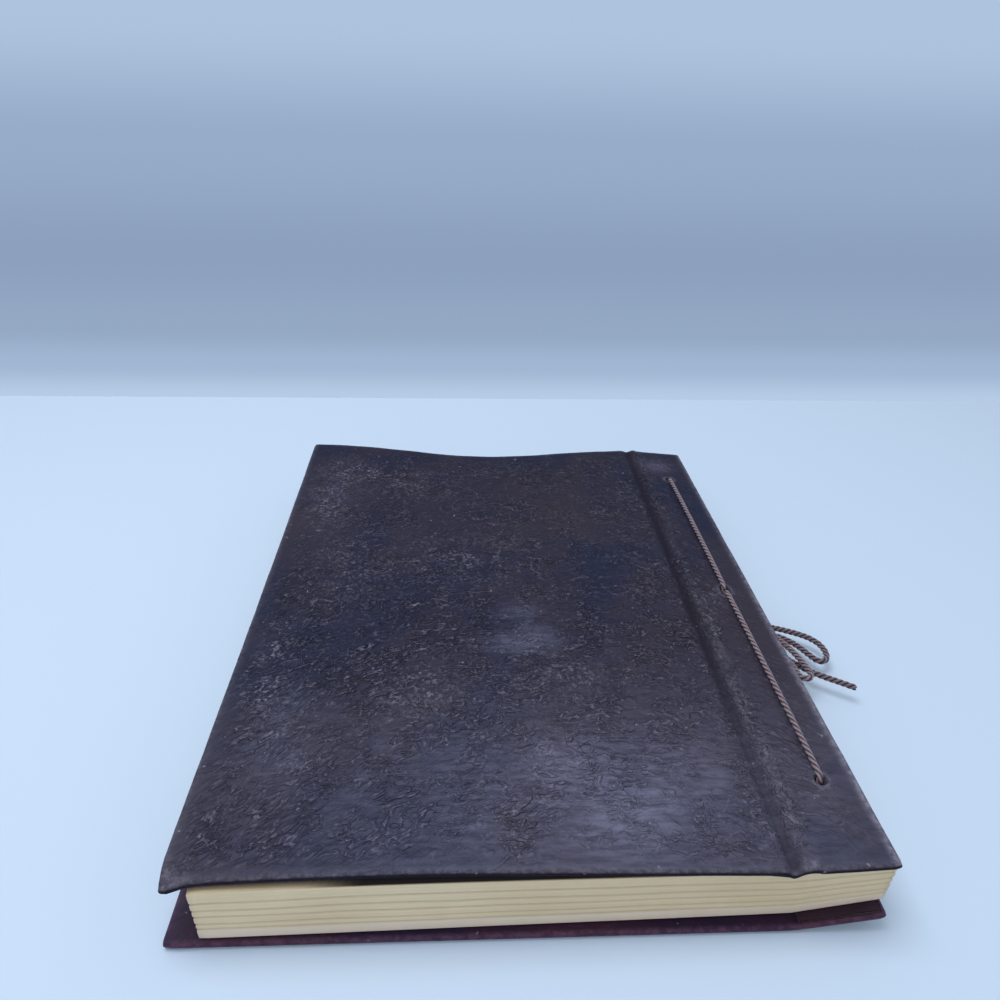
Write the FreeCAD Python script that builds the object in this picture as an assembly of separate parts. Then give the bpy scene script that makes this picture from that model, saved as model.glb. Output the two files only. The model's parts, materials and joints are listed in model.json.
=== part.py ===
import FreeCAD, Part
import math
import os

V = FreeCAD.Vector

# A laced leather album book lying shut: two leather covers, each a wide panel and
# a narrow binding strip that meet at a creased hinge, with one thick page block
# between them. A twisted cord goes through three punched holes and is tied in a bow.
# +X runs to the spine edge, +Y along the spine to the far end, +Z up from the table.

# Covers, overall
cover_length = 305.0
cover_width = 247.0
front_short = 2.7        # the front cover stops this far short at the fore-edge
front_slip = 2.8         # the slack lacing lets the front cover slip this far along the spine
corner_radius = 2.0

# One cover in section, from its outer face inwards
leather = 0.9
board = 1.8
turn_in = 0.5            # pared edge of the leather that is folded round the board
turn_in_width = 15.0
paste = 0.05             # glue line between the board and its lining
cover = leather + board + turn_in

# Creased hinges, which are troughs of leather round the hinge axes
front_strip_width = 35.3
back_strip_width = 31.5
trough_outer = cover     # the trough's bottom is flush with the inside of the cover
trough_wall = 0.9
trough_lip_drop = 0.8    # the trough ends this far below the outer face
hinge_clearance = 0.3

# Heights of the front cover's outer face above the table
fore_near_height = 32.4
fore_far_height = 36.0
crease_near_height = 30.7
crease_far_height = 31.7
spine_near_height = 32.9
spine_far_height = 28.5

# How the old front panel has warped between its corners
near_bow = 3.2
near_lean = 0.7
far_dip = -5.6
far_lean = 0.6
far_ripple = 1.1
fore_edge_dip = -0.9
corner_droop = 4.0       # the near fore-edge corner is crushed down, dying away over these lengths
droop_across = 7.4
droop_along = 5.4

# The lacing lifts the back strip off the table
back_strip_rise = 6.2

# Page block
block_end_margin = 3.5   # between each end of the block and of a cover
block_shift = -1.4       # along the spine, from the middle of the book
block_fore_margin = 9.7  # from the back cover's fore-edge
block_spine_margin = 1.6
block_skew = 0.9         # degrees, the block has turned a little between its covers
block_clearance = 0.4    # between the block and each cover
block_near_bow = 1.0
block_near_lean = 0.2
block_far_dip = -6.2
sections = 6
groove_height = 0.5
groove_depth = 0.8

# Punched holes and the cord
cord_diameter = 2.6
hole_spacing = 115.6
hole_from_spine = 14.5
hole_skew = 0.45         # degrees, the hole line leans like the block
hole_diameter = 4.6
middle_hole_length = 7.2
cord_gap = 0.3           # under the cord where it lies on the front strip
cord_turn = 1.9          # how far from a hole's axis the cord starts to turn down
strand_offset = 1.45     # half the pitch of the two strands in the middle hole
table_gap = 0.05         # under the cord where it runs along the table
pulled_stitch = 1.6      # the bow pulls the back stitch out to this far inside the spine edge
knot_radii = (5.0, 5.6, 4.0)
knot_outside = 4.9       # from the spine edge to the middle of the knot
knot_height = 4.4
knot_side = 0.4

spine_x = cover_width / 2.0
block_length = cover_length - 2 * block_end_margin
back_near_y = -cover_length / 2.0 - front_slip / 2.0
front_near_y = -cover_length / 2.0 + front_slip / 2.0
fore_back_x = -cover_width / 2.0
fore_front_x = fore_back_x + front_short
front_crease_x = spine_x - front_strip_width
back_crease_x = spine_x - back_strip_width
cord_radius = cord_diameter / 2.0
trough_inner = trough_outer - trough_wall
panel_end_radius = trough_outer + hinge_clearance


# Surfaces

def mix(a, b, t):
    return a + (b - a) * t


def bump(t, bow, lean, ripple=0.0):
    """A warp that is nothing at both ends: half a wave, one wave and three half waves."""
    wave = math.pi * t
    return bow * math.sin(wave) + lean * math.sin(2 * wave) + ripple * math.sin(3 * wave)


def front_fractions(x, y):
    s = (x - fore_front_x) / (front_crease_x - fore_front_x)
    return s, (y - front_near_y) / cover_length


def crushed(x, y):
    """How far the near fore-edge corner is pressed down at a point."""
    across = (x - fore_front_x) / droop_across
    along = (y - front_near_y) / droop_along
    return corner_droop * math.exp(-across ** 2 - along ** 2)


def panel_height(x, y):
    """Outer face of the front panel: straight between its corners, plus the warp of each edge."""
    s, v = front_fractions(x, y)
    near = mix(fore_near_height, crease_near_height, s) + bump(s, near_bow, near_lean)
    far = mix(fore_far_height, crease_far_height, s) + bump(s, far_dip, far_lean, far_ripple)
    return mix(near, far, v) + (1.0 - s) * bump(v, fore_edge_dip, 0.0) - crushed(x, y)


def block_top_height(x, y):
    """Top of the page block under the front panel: it follows the panel, but bows less."""
    s, v = front_fractions(x, y)
    near = mix(fore_near_height, crease_near_height, s) + bump(s, block_near_bow, block_near_lean)
    far = mix(fore_far_height, crease_far_height, s) + bump(s, block_far_dip, far_lean, far_ripple)
    edge = (1.0 - s) * bump(v, fore_edge_dip, 0.0) - crushed(x, y)
    return mix(near, far, v) + edge - cover - block_clearance


def strip_height(x, y):
    """Outer face of the front binding strip: straight from the crease to the spine edge."""
    s = (x - front_crease_x) / front_strip_width
    v = (y - front_near_y) / cover_length
    near = mix(crease_near_height, spine_near_height, s)
    far = mix(crease_far_height, spine_far_height, s)
    return mix(near, far, v)


def back_strip_height(x, y=0.0):
    """Outer face of the back binding strip, which rises from the crease to the spine edge."""
    return back_strip_rise * (x - back_crease_x) / back_strip_width


def flat_height(x, y):
    return 0.0


def graded(low, high, count, crowding):
    """Places from low to high, closer together towards the low end where crowding is above 1."""
    return [mix(low, high, (i / (count - 1.0)) ** crowding) for i in range(count)]


def smooth_face(height, x_range, y_range, columns, rows, crowding=1.0):
    """A smooth face through heights worked out on a grid."""
    grid = [[V(x, y, height(x, y)) for y in graded(y_range[0], y_range[1], rows, crowding)]
            for x in graded(x_range[0], x_range[1], columns, crowding)]
    surface = Part.BSplineSurface()
    surface.interpolate(grid)
    return surface.toShape()


def plane_face(height, x_range, y_range):
    """A plane face, level or sloping."""
    (a, b), (c, d) = x_range, y_range
    corners = [V(x, y, height(x, y)) for x, y in ((a, c), (b, c), (b, d), (a, d))]
    return Part.Face(Part.makePolygon(corners + corners[:1]))


def ruled_face(height, x_range, y_range):
    """A twisted face, straight-lined between two opposite edges."""
    ends = []
    for y in y_range:
        a, b = [V(x, y, height(x, y)) for x in x_range]
        ends.append(Part.LineSegment(a, b).toShape())
    return Part.makeRuledSurface(ends[0], ends[1])


def sheet(face, start, stop, direction):
    """The sheet between two depths below an outer face; direction is -1 down or 1 up."""
    moved = face.copy()
    moved.translate(V(0, 0, direction * start))
    return moved.extrude(V(0, 0, direction * (stop - start)))


# Outlines

reach = 4.0              # faces run on this far past the outlines that trim them
tall = 60.0
corner_crowding = 1.9    # how strongly the rows of a face crowd to the crushed corner


def column(x_low, x_high, y_low, y_high, round_low_x=0.0, round_high_x=0.0):
    """An upright block that trims a sheet, with rounded corners where a radius is given."""
    box = Part.makeBox(x_high - x_low, y_high - y_low, 2 * tall, V(x_low, y_low, -tall))
    for x, radius in ((x_low, round_low_x), (x_high, round_high_x)):
        if radius > 0:
            upright = [e for e in box.Edges if abs(e.BoundBox.XMin - x) < 1e-6
                       and abs(e.BoundBox.XMax - x) < 1e-6 and e.BoundBox.ZLength > tall]
            box = box.makeFillet(radius, upright)
    return box


def axis_line(side):
    """Start point and direction of a hinge axis, running past both ends of its cover."""
    if side == "front":
        low = V(front_crease_x, front_near_y, crease_near_height)
        high = V(front_crease_x, front_near_y + cover_length, crease_far_height)
    else:
        low = V(back_crease_x, back_near_y, 0)
        high = V(back_crease_x, back_near_y + cover_length, 0)
    along = (high - low).normalize()
    return low - along * reach, along


def round_bar(side, radius):
    start, along = axis_line(side)
    return Part.makeCylinder(radius, cover_length + 2 * reach, start, along)


def strip_section(side, y):
    """Section of a strip's leather: a trough under the hinge axis that runs on into the strip."""
    height = strip_height if side == "front" else back_strip_height
    crease = front_crease_x if side == "front" else back_crease_x
    down = -1 if side == "front" else 1
    end_x = spine_x + reach
    slope = math.atan2(height(end_x, y) - height(crease, y), end_x - crease)

    def under_axis(x, depth):
        return V(crease + x, y, height(crease, y) + down * depth)

    def lip(radius):
        return under_axis(-math.sqrt(radius ** 2 - trough_lip_drop ** 2), trough_lip_drop)

    side_of_bend = trough_outer * math.sqrt(0.5)
    top_end = V(end_x, y, height(end_x, y))
    inner_end = top_end + V(0, 0, down * cover)
    seat = V(crease + trough_inner * math.cos(slope), y,
             height(crease, y) + trough_inner * math.sin(slope))
    bottom = under_axis(0, trough_outer)
    edges = [
        Part.Arc(lip(trough_outer), under_axis(-side_of_bend, side_of_bend), bottom),
        Part.LineSegment(bottom, inner_end),
        Part.LineSegment(inner_end, top_end),
        Part.LineSegment(top_end, seat),
        Part.Arc(seat, under_axis(0, trough_inner), lip(trough_inner)),
        Part.LineSegment(lip(trough_inner), lip(trough_outer)),
    ]
    return Part.Wire([edge.toShape() for edge in edges])


# Holes

def hole_centres():
    middle = V(spine_x - hole_from_spine, 0, 0)
    lean = math.tan(math.radians(hole_skew))
    return [middle + V(-i * hole_spacing * lean, i * hole_spacing, 0) for i in (-1, 0, 1)]


def hole_tools():
    """Upright punches: round ones at both ends, a drawn-out one in the middle."""
    near, middle, far = hole_centres()
    radius = hole_diameter / 2.0
    tools = [Part.makeCylinder(radius, 2 * tall, V(c.x, c.y, -tall)) for c in (near, far)]
    half = middle_hole_length / 2.0 - radius
    ends = [Part.makeCylinder(radius, 2 * tall, V(middle.x, middle.y + d, -tall)) for d in (-half, half)]
    waist = Part.makeBox(2 * radius, 2 * half, 2 * tall, V(middle.x - radius, middle.y - half, -tall))
    tools.append(ends[0].fuse([ends[1], waist]).removeSplitter())
    return tools


def punch(shape):
    return shape.cut(hole_tools())


# Covers

def cover_rows(side):
    near = front_near_y if side == "front" else back_near_y
    return near, near + cover_length


def panel_shapes(side):
    """Leather, board and lining of the wide panel, which ends round the hinge trough."""
    near, far = cover_rows(side)
    crease = front_crease_x if side == "front" else back_crease_x
    fore = fore_front_x if side == "front" else fore_back_x
    down = -1 if side == "front" else 1
    x_range = (fore - reach, crease + reach)
    y_range = (near - reach, far + reach)
    if side == "front":
        face = smooth_face(panel_height, x_range, y_range, 17, 14, corner_crowding)
    else:
        face = plane_face(flat_height, x_range, y_range)
    outline = column(fore, crease, near, far, round_low_x=corner_radius)
    inner = column(fore + leather, crease, near + leather, far - leather)
    window = column(fore + turn_in_width, crease, near + turn_in_width, far - turn_in_width)
    end = round_bar(side, panel_end_radius)
    board_end = round_bar(side, panel_end_radius + leather)
    lining_end = round_bar(side, panel_end_radius + 2 * leather)
    board_shape = sheet(face, leather, leather + board, down).common(inner).cut(board_end)
    lining_bed = sheet(face, leather + board, cover, down).common(window).cut(lining_end)
    lining_shape = sheet(face, leather + board + paste, cover, down).common(lining_bed)
    skin = sheet(face, 0, cover, down).common(outline).cut(end)
    skin = skin.cut([board_shape, lining_bed])
    return {"leather": skin, "board": board_shape, "lining": lining_shape}


def strip_shapes(side):
    """Leather with its trough, board and lining of the narrow binding strip."""
    near, far = cover_rows(side)
    crease = front_crease_x if side == "front" else back_crease_x
    down = -1 if side == "front" else 1
    x_range = (crease - reach, spine_x + reach)
    y_range = (near - reach, far + reach)
    if side == "front":
        face = ruled_face(strip_height, x_range, y_range)
    else:
        face = plane_face(back_strip_height, x_range, y_range)
    outline = column(crease - 2 * trough_outer, spine_x, near, far, round_high_x=corner_radius)
    inner = column(crease, spine_x - leather, near + leather, far - leather)
    lining_outline = column(crease, spine_x - turn_in, near + turn_in, far - turn_in)
    board_end = round_bar(side, trough_outer)
    lining_end = round_bar(side, trough_outer + leather)
    board_shape = sheet(face, leather, leather + board, down).common(inner).cut(board_end)
    lining_bed = sheet(face, leather + board, cover, down).common(lining_outline).cut(lining_end)
    lining_shape = sheet(face, leather + board + paste, cover, down).common(lining_bed)
    ends = [strip_section(side, y) for y in y_range]
    skin = Part.makeLoft(ends, True, True).common(outline)
    skin = skin.cut([board_shape, lining_bed])
    return {"leather": punch(skin), "board": punch(board_shape), "lining": punch(lining_shape)}


# Page block

def block_bottom_height(x):
    """Underside of the block: flat on the back panel, then lifted with the back strip."""
    return cover + block_clearance + max(0.0, back_strip_height(x))


def turned(shape):
    """Turns a shape with the block, about the middle of the book."""
    copy = shape.copy()
    copy.rotate(V(0, 0, 0), V(0, 0, 1), block_skew)
    return copy


def block_column(inset):
    x_low = fore_back_x + block_fore_margin + inset
    x_high = spine_x - block_spine_margin - inset
    y_low = block_shift - block_length / 2.0 + inset
    return turned(column(x_low, x_high, y_low, y_low + block_length - 2 * inset))


def block_level(part):
    """Height of the leaf at a fraction of the block's thickness, anywhere on it."""
    def height(x, y):
        top = block_top_height(x, y) if x < front_crease_x else strip_height(x, y) - cover - block_clearance
        return mix(block_bottom_height(x), top, part)
    return height


def page_block_shape():
    x_range = (fore_back_x - reach, spine_x + reach)
    y_range = (back_near_y - reach, front_near_y + cover_length + reach)
    corners = [(x_range[0], 0), (back_crease_x, 0), (x_range[1], back_strip_height(x_range[1]))]
    floor = [V(x, y_range[0], z + cover + block_clearance) for x, z in corners]
    roof = [V(x_range[1], y_range[0], tall), V(x_range[0], y_range[0], tall)]
    profile = Part.Face(Part.makePolygon(floor + roof + floor[:1]))
    block = profile.extrude(V(0, y_range[1] - y_range[0], 0)).common(block_column(0))
    panel_top = smooth_face(block_top_height, (x_range[0], front_crease_x + reach), y_range, 17, 14,
                            corner_crowding)
    strip_top = ruled_face(lambda x, y: strip_height(x, y) - cover - block_clearance,
                           (front_crease_x - reach, x_range[1]), y_range)
    before = column(x_range[0], front_crease_x, y_range[0], y_range[1])
    after = column(front_crease_x, x_range[1], y_range[0], y_range[1])
    block = block.cut(panel_top.extrude(V(0, 0, tall)).common(before))
    block = block.cut(strip_top.extrude(V(0, 0, tall)).common(after))
    core = block_column(groove_depth)
    for k in range(1, sections):
        leaf = smooth_face(block_level(k / float(sections)), x_range, y_range, 19, 5)
        groove = sheet(leaf, -groove_height / 2.0, groove_height / 2.0, 1).cut(core)
        block = block.cut(groove)
    return punch(block)


# Cord

def tube(points, name):
    """A round cord along straight runs joined by tangent arcs."""
    edges = []
    length = 0.0
    start = points[0]
    radii = []
    for before, corner, after in zip(points, points[1:], points[2:]):
        arrive = (corner - before).normalize()
        leave = (after - corner).normalize()
        turn = arrive.getAngle(leave)
        shorter = min((corner - before).Length, (after - corner).Length)
        setback = 0.45 * shorter
        radii.append(setback / math.tan(turn / 2.0))
        first = corner - arrive * setback
        last = corner + leave * setback
        towards = (leave - arrive).normalize()
        middle = corner + towards * (radii[-1] / math.cos(turn / 2.0) - radii[-1])
        edges.append(Part.LineSegment(start, first).toShape())
        edges.append(Part.Arc(first, middle, last).toShape())
        length += (first - start).Length + radii[-1] * turn
        start = last
    edges.append(Part.LineSegment(start, points[-1]).toShape())
    length += (points[-1] - start).Length
    path = Part.Wire(edges)
    heading = (points[1] - points[0]).normalize()
    ring = Part.Wire([Part.Circle(points[0], heading, cord_radius).toShape()])
    solid = path.makePipeShell([ring], True, False)
    share = solid.Volume / (math.pi * cord_radius ** 2 * length)
    print(name, "length", round(length, 1), "volume share", round(share, 4),
          "radii", [round(r, 1) for r in radii])
    return solid


def surface_point(x, y):
    """A point of the cord's centre line where it lies on the front strip."""
    return V(x, y, strip_height(x, y) + cord_radius + cord_gap)


def lacing_route():
    """Knot, middle hole, far hole, long back stitch, near hole, middle hole, knot."""
    near, middle, far = hole_centres()
    table = cord_radius + table_gap
    edge = spine_x - pulled_stitch
    top_drop = cord_turn
    bottom_rise = table + cord_turn
    lean = (middle.x - far.x) / hole_spacing

    def above(x, y):
        return surface_point(x, y) - V(0, 0, top_drop)

    up = V(middle.x, strand_offset, 0)
    down = V(middle.x, -strand_offset, 0)
    return [
        V(spine_x + 2.1, 1.6, knot_height + 0.1),
        V(spine_x - 2.9, 1.6, knot_height - 0.3),
        V(up.x + cord_turn, up.y, table),
        V(up.x, up.y, bottom_rise),
        above(up.x, up.y),
        surface_point(up.x - lean * cord_turn, up.y + cord_turn),
        surface_point(far.x + lean * cord_turn, far.y - cord_turn),
        above(far.x, far.y),
        V(far.x, far.y, bottom_rise),
        V(far.x + 0.3, far.y - cord_turn, table),
        V(edge - 1.5, 16.5, table + 0.01),
        V(edge, 5.5, table + 0.03),
        V(edge, -5.5, table + 0.01),
        V(edge - 1.3, -16.5, table + 0.01),
        V(near.x + 0.3, near.y + cord_turn, table),
        V(near.x, near.y, bottom_rise),
        above(near.x, near.y),
        surface_point(near.x - lean * cord_turn, near.y + cord_turn),
        surface_point(down.x + lean * cord_turn, down.y - cord_turn),
        above(down.x, down.y),
        V(down.x, down.y, bottom_rise),
        V(down.x + cord_turn, down.y, table),
        V(spine_x - 2.9, -1.6, knot_height - 0.3),
        V(spine_x + 2.1, -1.6, knot_height + 0.1),
    ]


# Routes of the bow, measured from the middle of the spine edge at the table

big_loop_route = [
    (7.5, 1.9, 5.8), (12.6, 1.0, 6.2), (18.6, -1.5, 6.4), (24.6, -4.6, 6.7),
    (29.9, -8.1, 6.9), (33.5, -12.5, 7.1), (35.0, -17.6, 7.1), (34.6, -22.4, 7.0),
    (32.4, -25.9, 6.8), (28.9, -26.1, 6.6), (26.5, -22.2, 6.5), (24.2, -16.1, 6.2),
    (20.8, -10.3, 5.8), (16.2, -5.7, 5.3), (11.4, -2.9, 4.8), (6.7, -1.2, 4.4),
]

small_loop_route = [
    (6.9, -2.5, 7.4), (10.0, -7.7, 9.0), (12.9, -14.7, 10.4), (15.4, -22.5, 11.2),
    (17.1, -30.5, 11.6), (18.0, -37.1, 11.9), (18.0, -41.2, 12.0), (16.1, -43.0, 12.0),
    (13.6, -43.0, 12.0), (11.7, -41.2, 12.0), (11.8, -37.3, 11.8), (11.3, -31.0, 11.2),
    (9.2, -22.1, 10.0), (6.4, -13.4, 8.4), (4.3, -6.3, 6.6), (3.9, -1.5, 5.0),
]

upper_tail_route = [
    (6.6, -2.7, 3.4), (8.6, -10.2, 4.6), (11.4, -19.4, 6.0), (15.4, -27.6, 7.2),
    (20.6, -34.1, 8.0), (25.7, -38.2, 8.4), (32.0, -42.1, 8.5), (38.6, -46.0, 8.3),
]

lower_tail_route = [
    (4.1, -2.4, 2.4), (5.1, -7.8, 1.7), (6.8, -14.4, 1.4), (8.4, -21.4, 1.4),
    (9.6, -29.0, 1.4), (10.2, -36.6, 1.4), (10.2, -44.0, 1.4), (9.4, -51.4, 1.4),
]


def knot_shape():
    ball = Part.makeSphere(1.0)
    stretch = FreeCAD.Matrix()
    stretch.scale(V(*knot_radii))
    lump = ball.transformGeometry(stretch)
    lump.translate(V(spine_x + knot_outside, knot_side, knot_height))
    return lump


def from_spine_edge(route):
    return [V(spine_x + x, y, z) for x, y, z in route]


def cord_shapes():
    knot = knot_shape()
    routes = {"lacing_cord": lacing_route(),
              "bow_big_loop": from_spine_edge(big_loop_route),
              "bow_small_loop": from_spine_edge(small_loop_route),
              "bow_upper_tail": from_spine_edge(upper_tail_route),
              "bow_lower_tail": from_spine_edge(lower_tail_route)}
    shapes = {name: tube(route, name).cut(knot) for name, route in routes.items()}
    shapes["bow_knot"] = knot
    return shapes


def main():
    os.makedirs("parts", exist_ok=True)
    nodes = {"page_block": page_block_shape()}
    for side in ("front", "back"):
        for layer, shape in panel_shapes(side).items():
            nodes[side + "_panel_" + layer] = shape
        for layer, shape in strip_shapes(side).items():
            nodes[side + "_strip_" + layer] = shape
    nodes.update(cord_shapes())
    for name, shape in nodes.items():
        solids = shape.Solids
        print(name, len(solids), shape.isValid(), round(shape.Volume, 1))
        (solids[0] if len(solids) == 1 else shape).exportStep("parts/" + name + ".step")


main()
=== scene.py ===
import json
import math
import bpy
import numpy as np
from bpy.props import FloatProperty, FloatVectorProperty, IntProperty, PointerProperty
from mathutils import Matrix, Vector


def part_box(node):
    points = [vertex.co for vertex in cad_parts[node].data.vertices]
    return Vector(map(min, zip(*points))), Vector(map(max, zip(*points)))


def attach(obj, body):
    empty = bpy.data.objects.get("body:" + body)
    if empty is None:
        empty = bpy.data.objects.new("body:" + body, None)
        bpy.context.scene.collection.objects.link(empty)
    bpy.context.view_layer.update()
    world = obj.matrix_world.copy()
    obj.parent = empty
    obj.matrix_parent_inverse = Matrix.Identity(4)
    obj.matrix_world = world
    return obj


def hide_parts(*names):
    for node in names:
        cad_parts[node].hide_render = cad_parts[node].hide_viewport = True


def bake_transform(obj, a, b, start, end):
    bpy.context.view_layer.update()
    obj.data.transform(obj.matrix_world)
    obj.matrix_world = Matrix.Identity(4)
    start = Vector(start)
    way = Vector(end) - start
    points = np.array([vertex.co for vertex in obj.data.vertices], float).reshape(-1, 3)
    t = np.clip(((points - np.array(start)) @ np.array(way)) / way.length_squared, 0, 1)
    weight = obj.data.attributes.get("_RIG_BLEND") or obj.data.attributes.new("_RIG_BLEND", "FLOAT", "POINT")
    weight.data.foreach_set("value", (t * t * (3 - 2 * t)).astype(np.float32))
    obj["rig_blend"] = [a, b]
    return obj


bl_info = {
    "name": "Laced Leather Album",
    "version": (1, 0, 0),
    "blender": (4, 5, 0),
    "location": "3D View > Sidebar > Album",
    "description": "Dresses a laced leather album book: creased covers, page block, twisted cord and bow",
    "category": "Object",
}

# Lengths in the shape functions are millimetres, as in the part's source. Meshes are metres.
MM = 0.001

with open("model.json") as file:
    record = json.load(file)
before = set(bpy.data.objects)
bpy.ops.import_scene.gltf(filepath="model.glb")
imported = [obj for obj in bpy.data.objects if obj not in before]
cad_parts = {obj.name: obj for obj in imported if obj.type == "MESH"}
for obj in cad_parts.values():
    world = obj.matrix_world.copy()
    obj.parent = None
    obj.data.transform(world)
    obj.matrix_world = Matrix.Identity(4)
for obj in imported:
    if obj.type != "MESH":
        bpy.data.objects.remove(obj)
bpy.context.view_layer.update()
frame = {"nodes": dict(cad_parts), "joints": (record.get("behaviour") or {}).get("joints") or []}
JOINTS = {joint["name"]: joint for joint in frame["joints"]}


def node_box(name):
    """Lowest and highest corner of a CAD node at rest, in millimetres."""
    low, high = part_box(name)
    return np.array(low) / MM, np.array(high) / MM


# Outline of the two covers, from the frame
FRONT_LOW = node_box("front_panel_leather")[0]
FRONT_HIGH = node_box("front_strip_leather")[1]
BACK_LOW = node_box("back_panel_leather")[0]
BACK_HIGH = node_box("back_strip_leather")[1]
FORE_X, NEAR_Y = FRONT_LOW[0], FRONT_LOW[1]
SPINE_X, FAR_Y = FRONT_HIGH[0], FRONT_HIGH[1]
BACK_FORE_X, BACK_NEAR_Y, BACK_FAR_Y = BACK_LOW[0], BACK_LOW[1], BACK_HIGH[1]
CREASE_X = JOINTS["front_cover_hinge"]["pos_m"][0] / MM
BACK_CREASE_X = JOINTS["back_cover_hinge"]["pos_m"][0] / MM
LENGTH = FAR_Y - NEAR_Y

# Heights of the front cover above the table and its warp, as in the part's source
COVER = 3.2
FORE_NEAR_Z, FORE_FAR_Z = 32.4, 36.0
CREASE_NEAR_Z, CREASE_FAR_Z = 30.7, 31.7
SPINE_NEAR_Z, SPINE_FAR_Z = 32.9, 28.5
# A warp: bow and lean of the near edge, dip of the far edge
FRONT_WARP, BLOCK_WARP = (3.2, 0.7, -5.6), (1.0, 0.2, -6.2)
FAR_LEAN, FAR_RIPPLE = 0.6, 1.1
FORE_EDGE_DIP = -0.9
CORNER_DROOP, DROOP_ACROSS, DROOP_ALONG = 4.0, 7.4, 5.4
BACK_STRIP_RISE = 6.2

# Page block
BLOCK_END_MARGIN, BLOCK_SHIFT = 3.5, -1.4
BLOCK_FORE_MARGIN, BLOCK_SPINE_MARGIN = 9.7, 1.6
BLOCK_SKEW = math.radians(0.9)
BLOCK_CLEARANCE = 0.4
SECTION_SHARES = (0.20, 0.12, 0.165, 0.135, 0.16, 0.22)

# Holes and cord
CORD_DIAMETER = 2.6
HOLE_SPACING, HOLE_FROM_SPINE = 115.6, 14.5
HOLE_SKEW = math.radians(0.45)
HOLE_RADIUS, MIDDLE_HOLE_LENGTH = 2.3, 7.2
CORD_GAP, CORD_TURN, STRAND_OFFSET = 0.3, 1.9, 1.45
TABLE_GAP, PULLED_STITCH = 0.05, 1.6
KNOT_CENTRE = np.array([SPINE_X + 4.9, 0.4, 4.4])

# Camera of the photograph, in millimetres and degrees
CAMERA_PLACE = (-22.60, -296.98, 261.17)
CAMERA_YAW, CAMERA_DOWN, CAMERA_ROLL = 3.2043, 30.7622, 1.6090
CAMERA_LENS, CAMERA_SENSOR = 27.035, 36.0

# Routes of the bow, measured from the middle of the spine edge at the table
BIG_LOOP = [
    (7.5, 1.9, 5.8), (12.6, 1.0, 6.2), (18.6, -1.5, 6.4), (24.6, -4.6, 6.7),
    (29.9, -8.1, 6.9), (33.5, -12.5, 7.1), (35.0, -17.6, 7.1), (34.6, -22.4, 7.0),
    (32.4, -25.9, 6.8), (28.9, -26.1, 6.6), (26.5, -22.2, 6.5), (24.2, -16.1, 6.2),
    (20.8, -10.3, 5.8), (16.2, -5.7, 5.3), (11.4, -2.9, 4.8), (6.7, -1.2, 4.4),
]
SMALL_LOOP = [
    (6.9, -2.5, 7.4), (10.0, -7.7, 9.0), (12.9, -14.7, 10.4), (15.4, -22.5, 11.2),
    (17.1, -30.5, 11.6), (18.0, -37.1, 11.9), (18.0, -41.2, 12.0), (16.1, -43.0, 12.0),
    (13.6, -43.0, 12.0), (11.7, -41.2, 12.0), (11.8, -37.3, 11.8), (11.3, -31.0, 11.2),
    (9.2, -22.1, 10.0), (6.4, -13.4, 8.4), (4.3, -6.3, 6.6), (3.9, -1.5, 5.0),
]
UPPER_TAIL = [
    (6.6, -2.7, 3.4), (8.6, -10.2, 4.6), (11.4, -19.4, 6.0), (15.4, -27.6, 7.2),
    (20.6, -34.1, 8.0), (25.7, -38.2, 8.4), (32.0, -42.1, 8.5), (38.6, -46.0, 8.3),
]
LOWER_TAIL = [
    (4.1, -2.4, 2.4), (5.1, -7.8, 1.7), (6.8, -14.4, 1.4), (8.4, -21.4, 1.4),
    (9.6, -29.0, 1.4), (10.2, -36.6, 1.4), (10.2, -44.0, 1.4), (9.4, -51.4, 1.4),
]

# Marks on the front cover: place, half widths in millimetres, strength. The first list is a painted bluish
# sheen, a reflection laid into the colour; the second is pale flecks of age.
SHEEN_MARKS = [
    (20.0, -122.0, 112.0, 48.0, 0.52), (3.0, -38.0, 15.0, 6.0, 0.7), (9.0, -29.0, 10.0, 5.0, 0.5),
    (4.3, -16.0, 9.0, 7.0, 0.4), (34.0, -131.0, 19.0, 14.0, 0.6), (13.6, -105.0, 14.0, 10.0, 0.5),
    (-100.0, 92.0, 16.0, 40.0, 0.15), (-95.0, -90.0, 12.0, 22.0, 0.35), (52.0, -112.0, 28.0, 16.0, 0.25),
    (102.0, 132.0, 9.0, 7.0, 0.5),
]
FLECK_MARKS = [
    (-105.8, -67.5, 8.0, 9.0, 1.0), (-95.2, -91.8, 5.0, 9.0, 0.9), (-85.2, -104.2, 5.0, 6.0, 0.9),
    (-105.4, -40.2, 6.0, 14.0, 0.9), (5.4, -112.0, 4.0, 8.0, 0.8), (-17.2, -136.0, 5.0, 5.0, 0.6),
    (100.0, -7.8, 6.0, 8.0, 0.5), (103.2, 135.0, 9.0, 6.0, 0.8), (-40.8, -68.5, 16.0, 14.0, 0.7),
    (-87.8, 121.0, 20.0, 12.0, 0.8), (-100.8, 84.0, 10.0, 22.0, 0.8), (-19.4, 28.8, 30.0, 20.0, 0.5),
    (-79.0, 25.0, 18.0, 30.0, 0.5), (20.0, -60.0, 22.0, 12.0, 0.45), (-50.7, 110.0, 26.0, 16.0, 0.5),
]


# Arithmetic on arrays

def mix(a, b, t):
    """a where t is 0, b where t is 1, straight between."""
    return a + (b - a) * t


def soft_step(low, high, value):
    """0 below low, 1 above high, and 3t^2 - 2t^3 between them."""
    t = np.clip((value - low) / (high - low), 0.0, 1.0)
    return t * t * (3.0 - 2.0 * t)


def bell(value, width):
    """exp(-(value / width)^2)"""
    return np.exp(-(value / width) ** 2)


LATTICE, DENSITY_SAMPLES = 256, 6001


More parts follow.
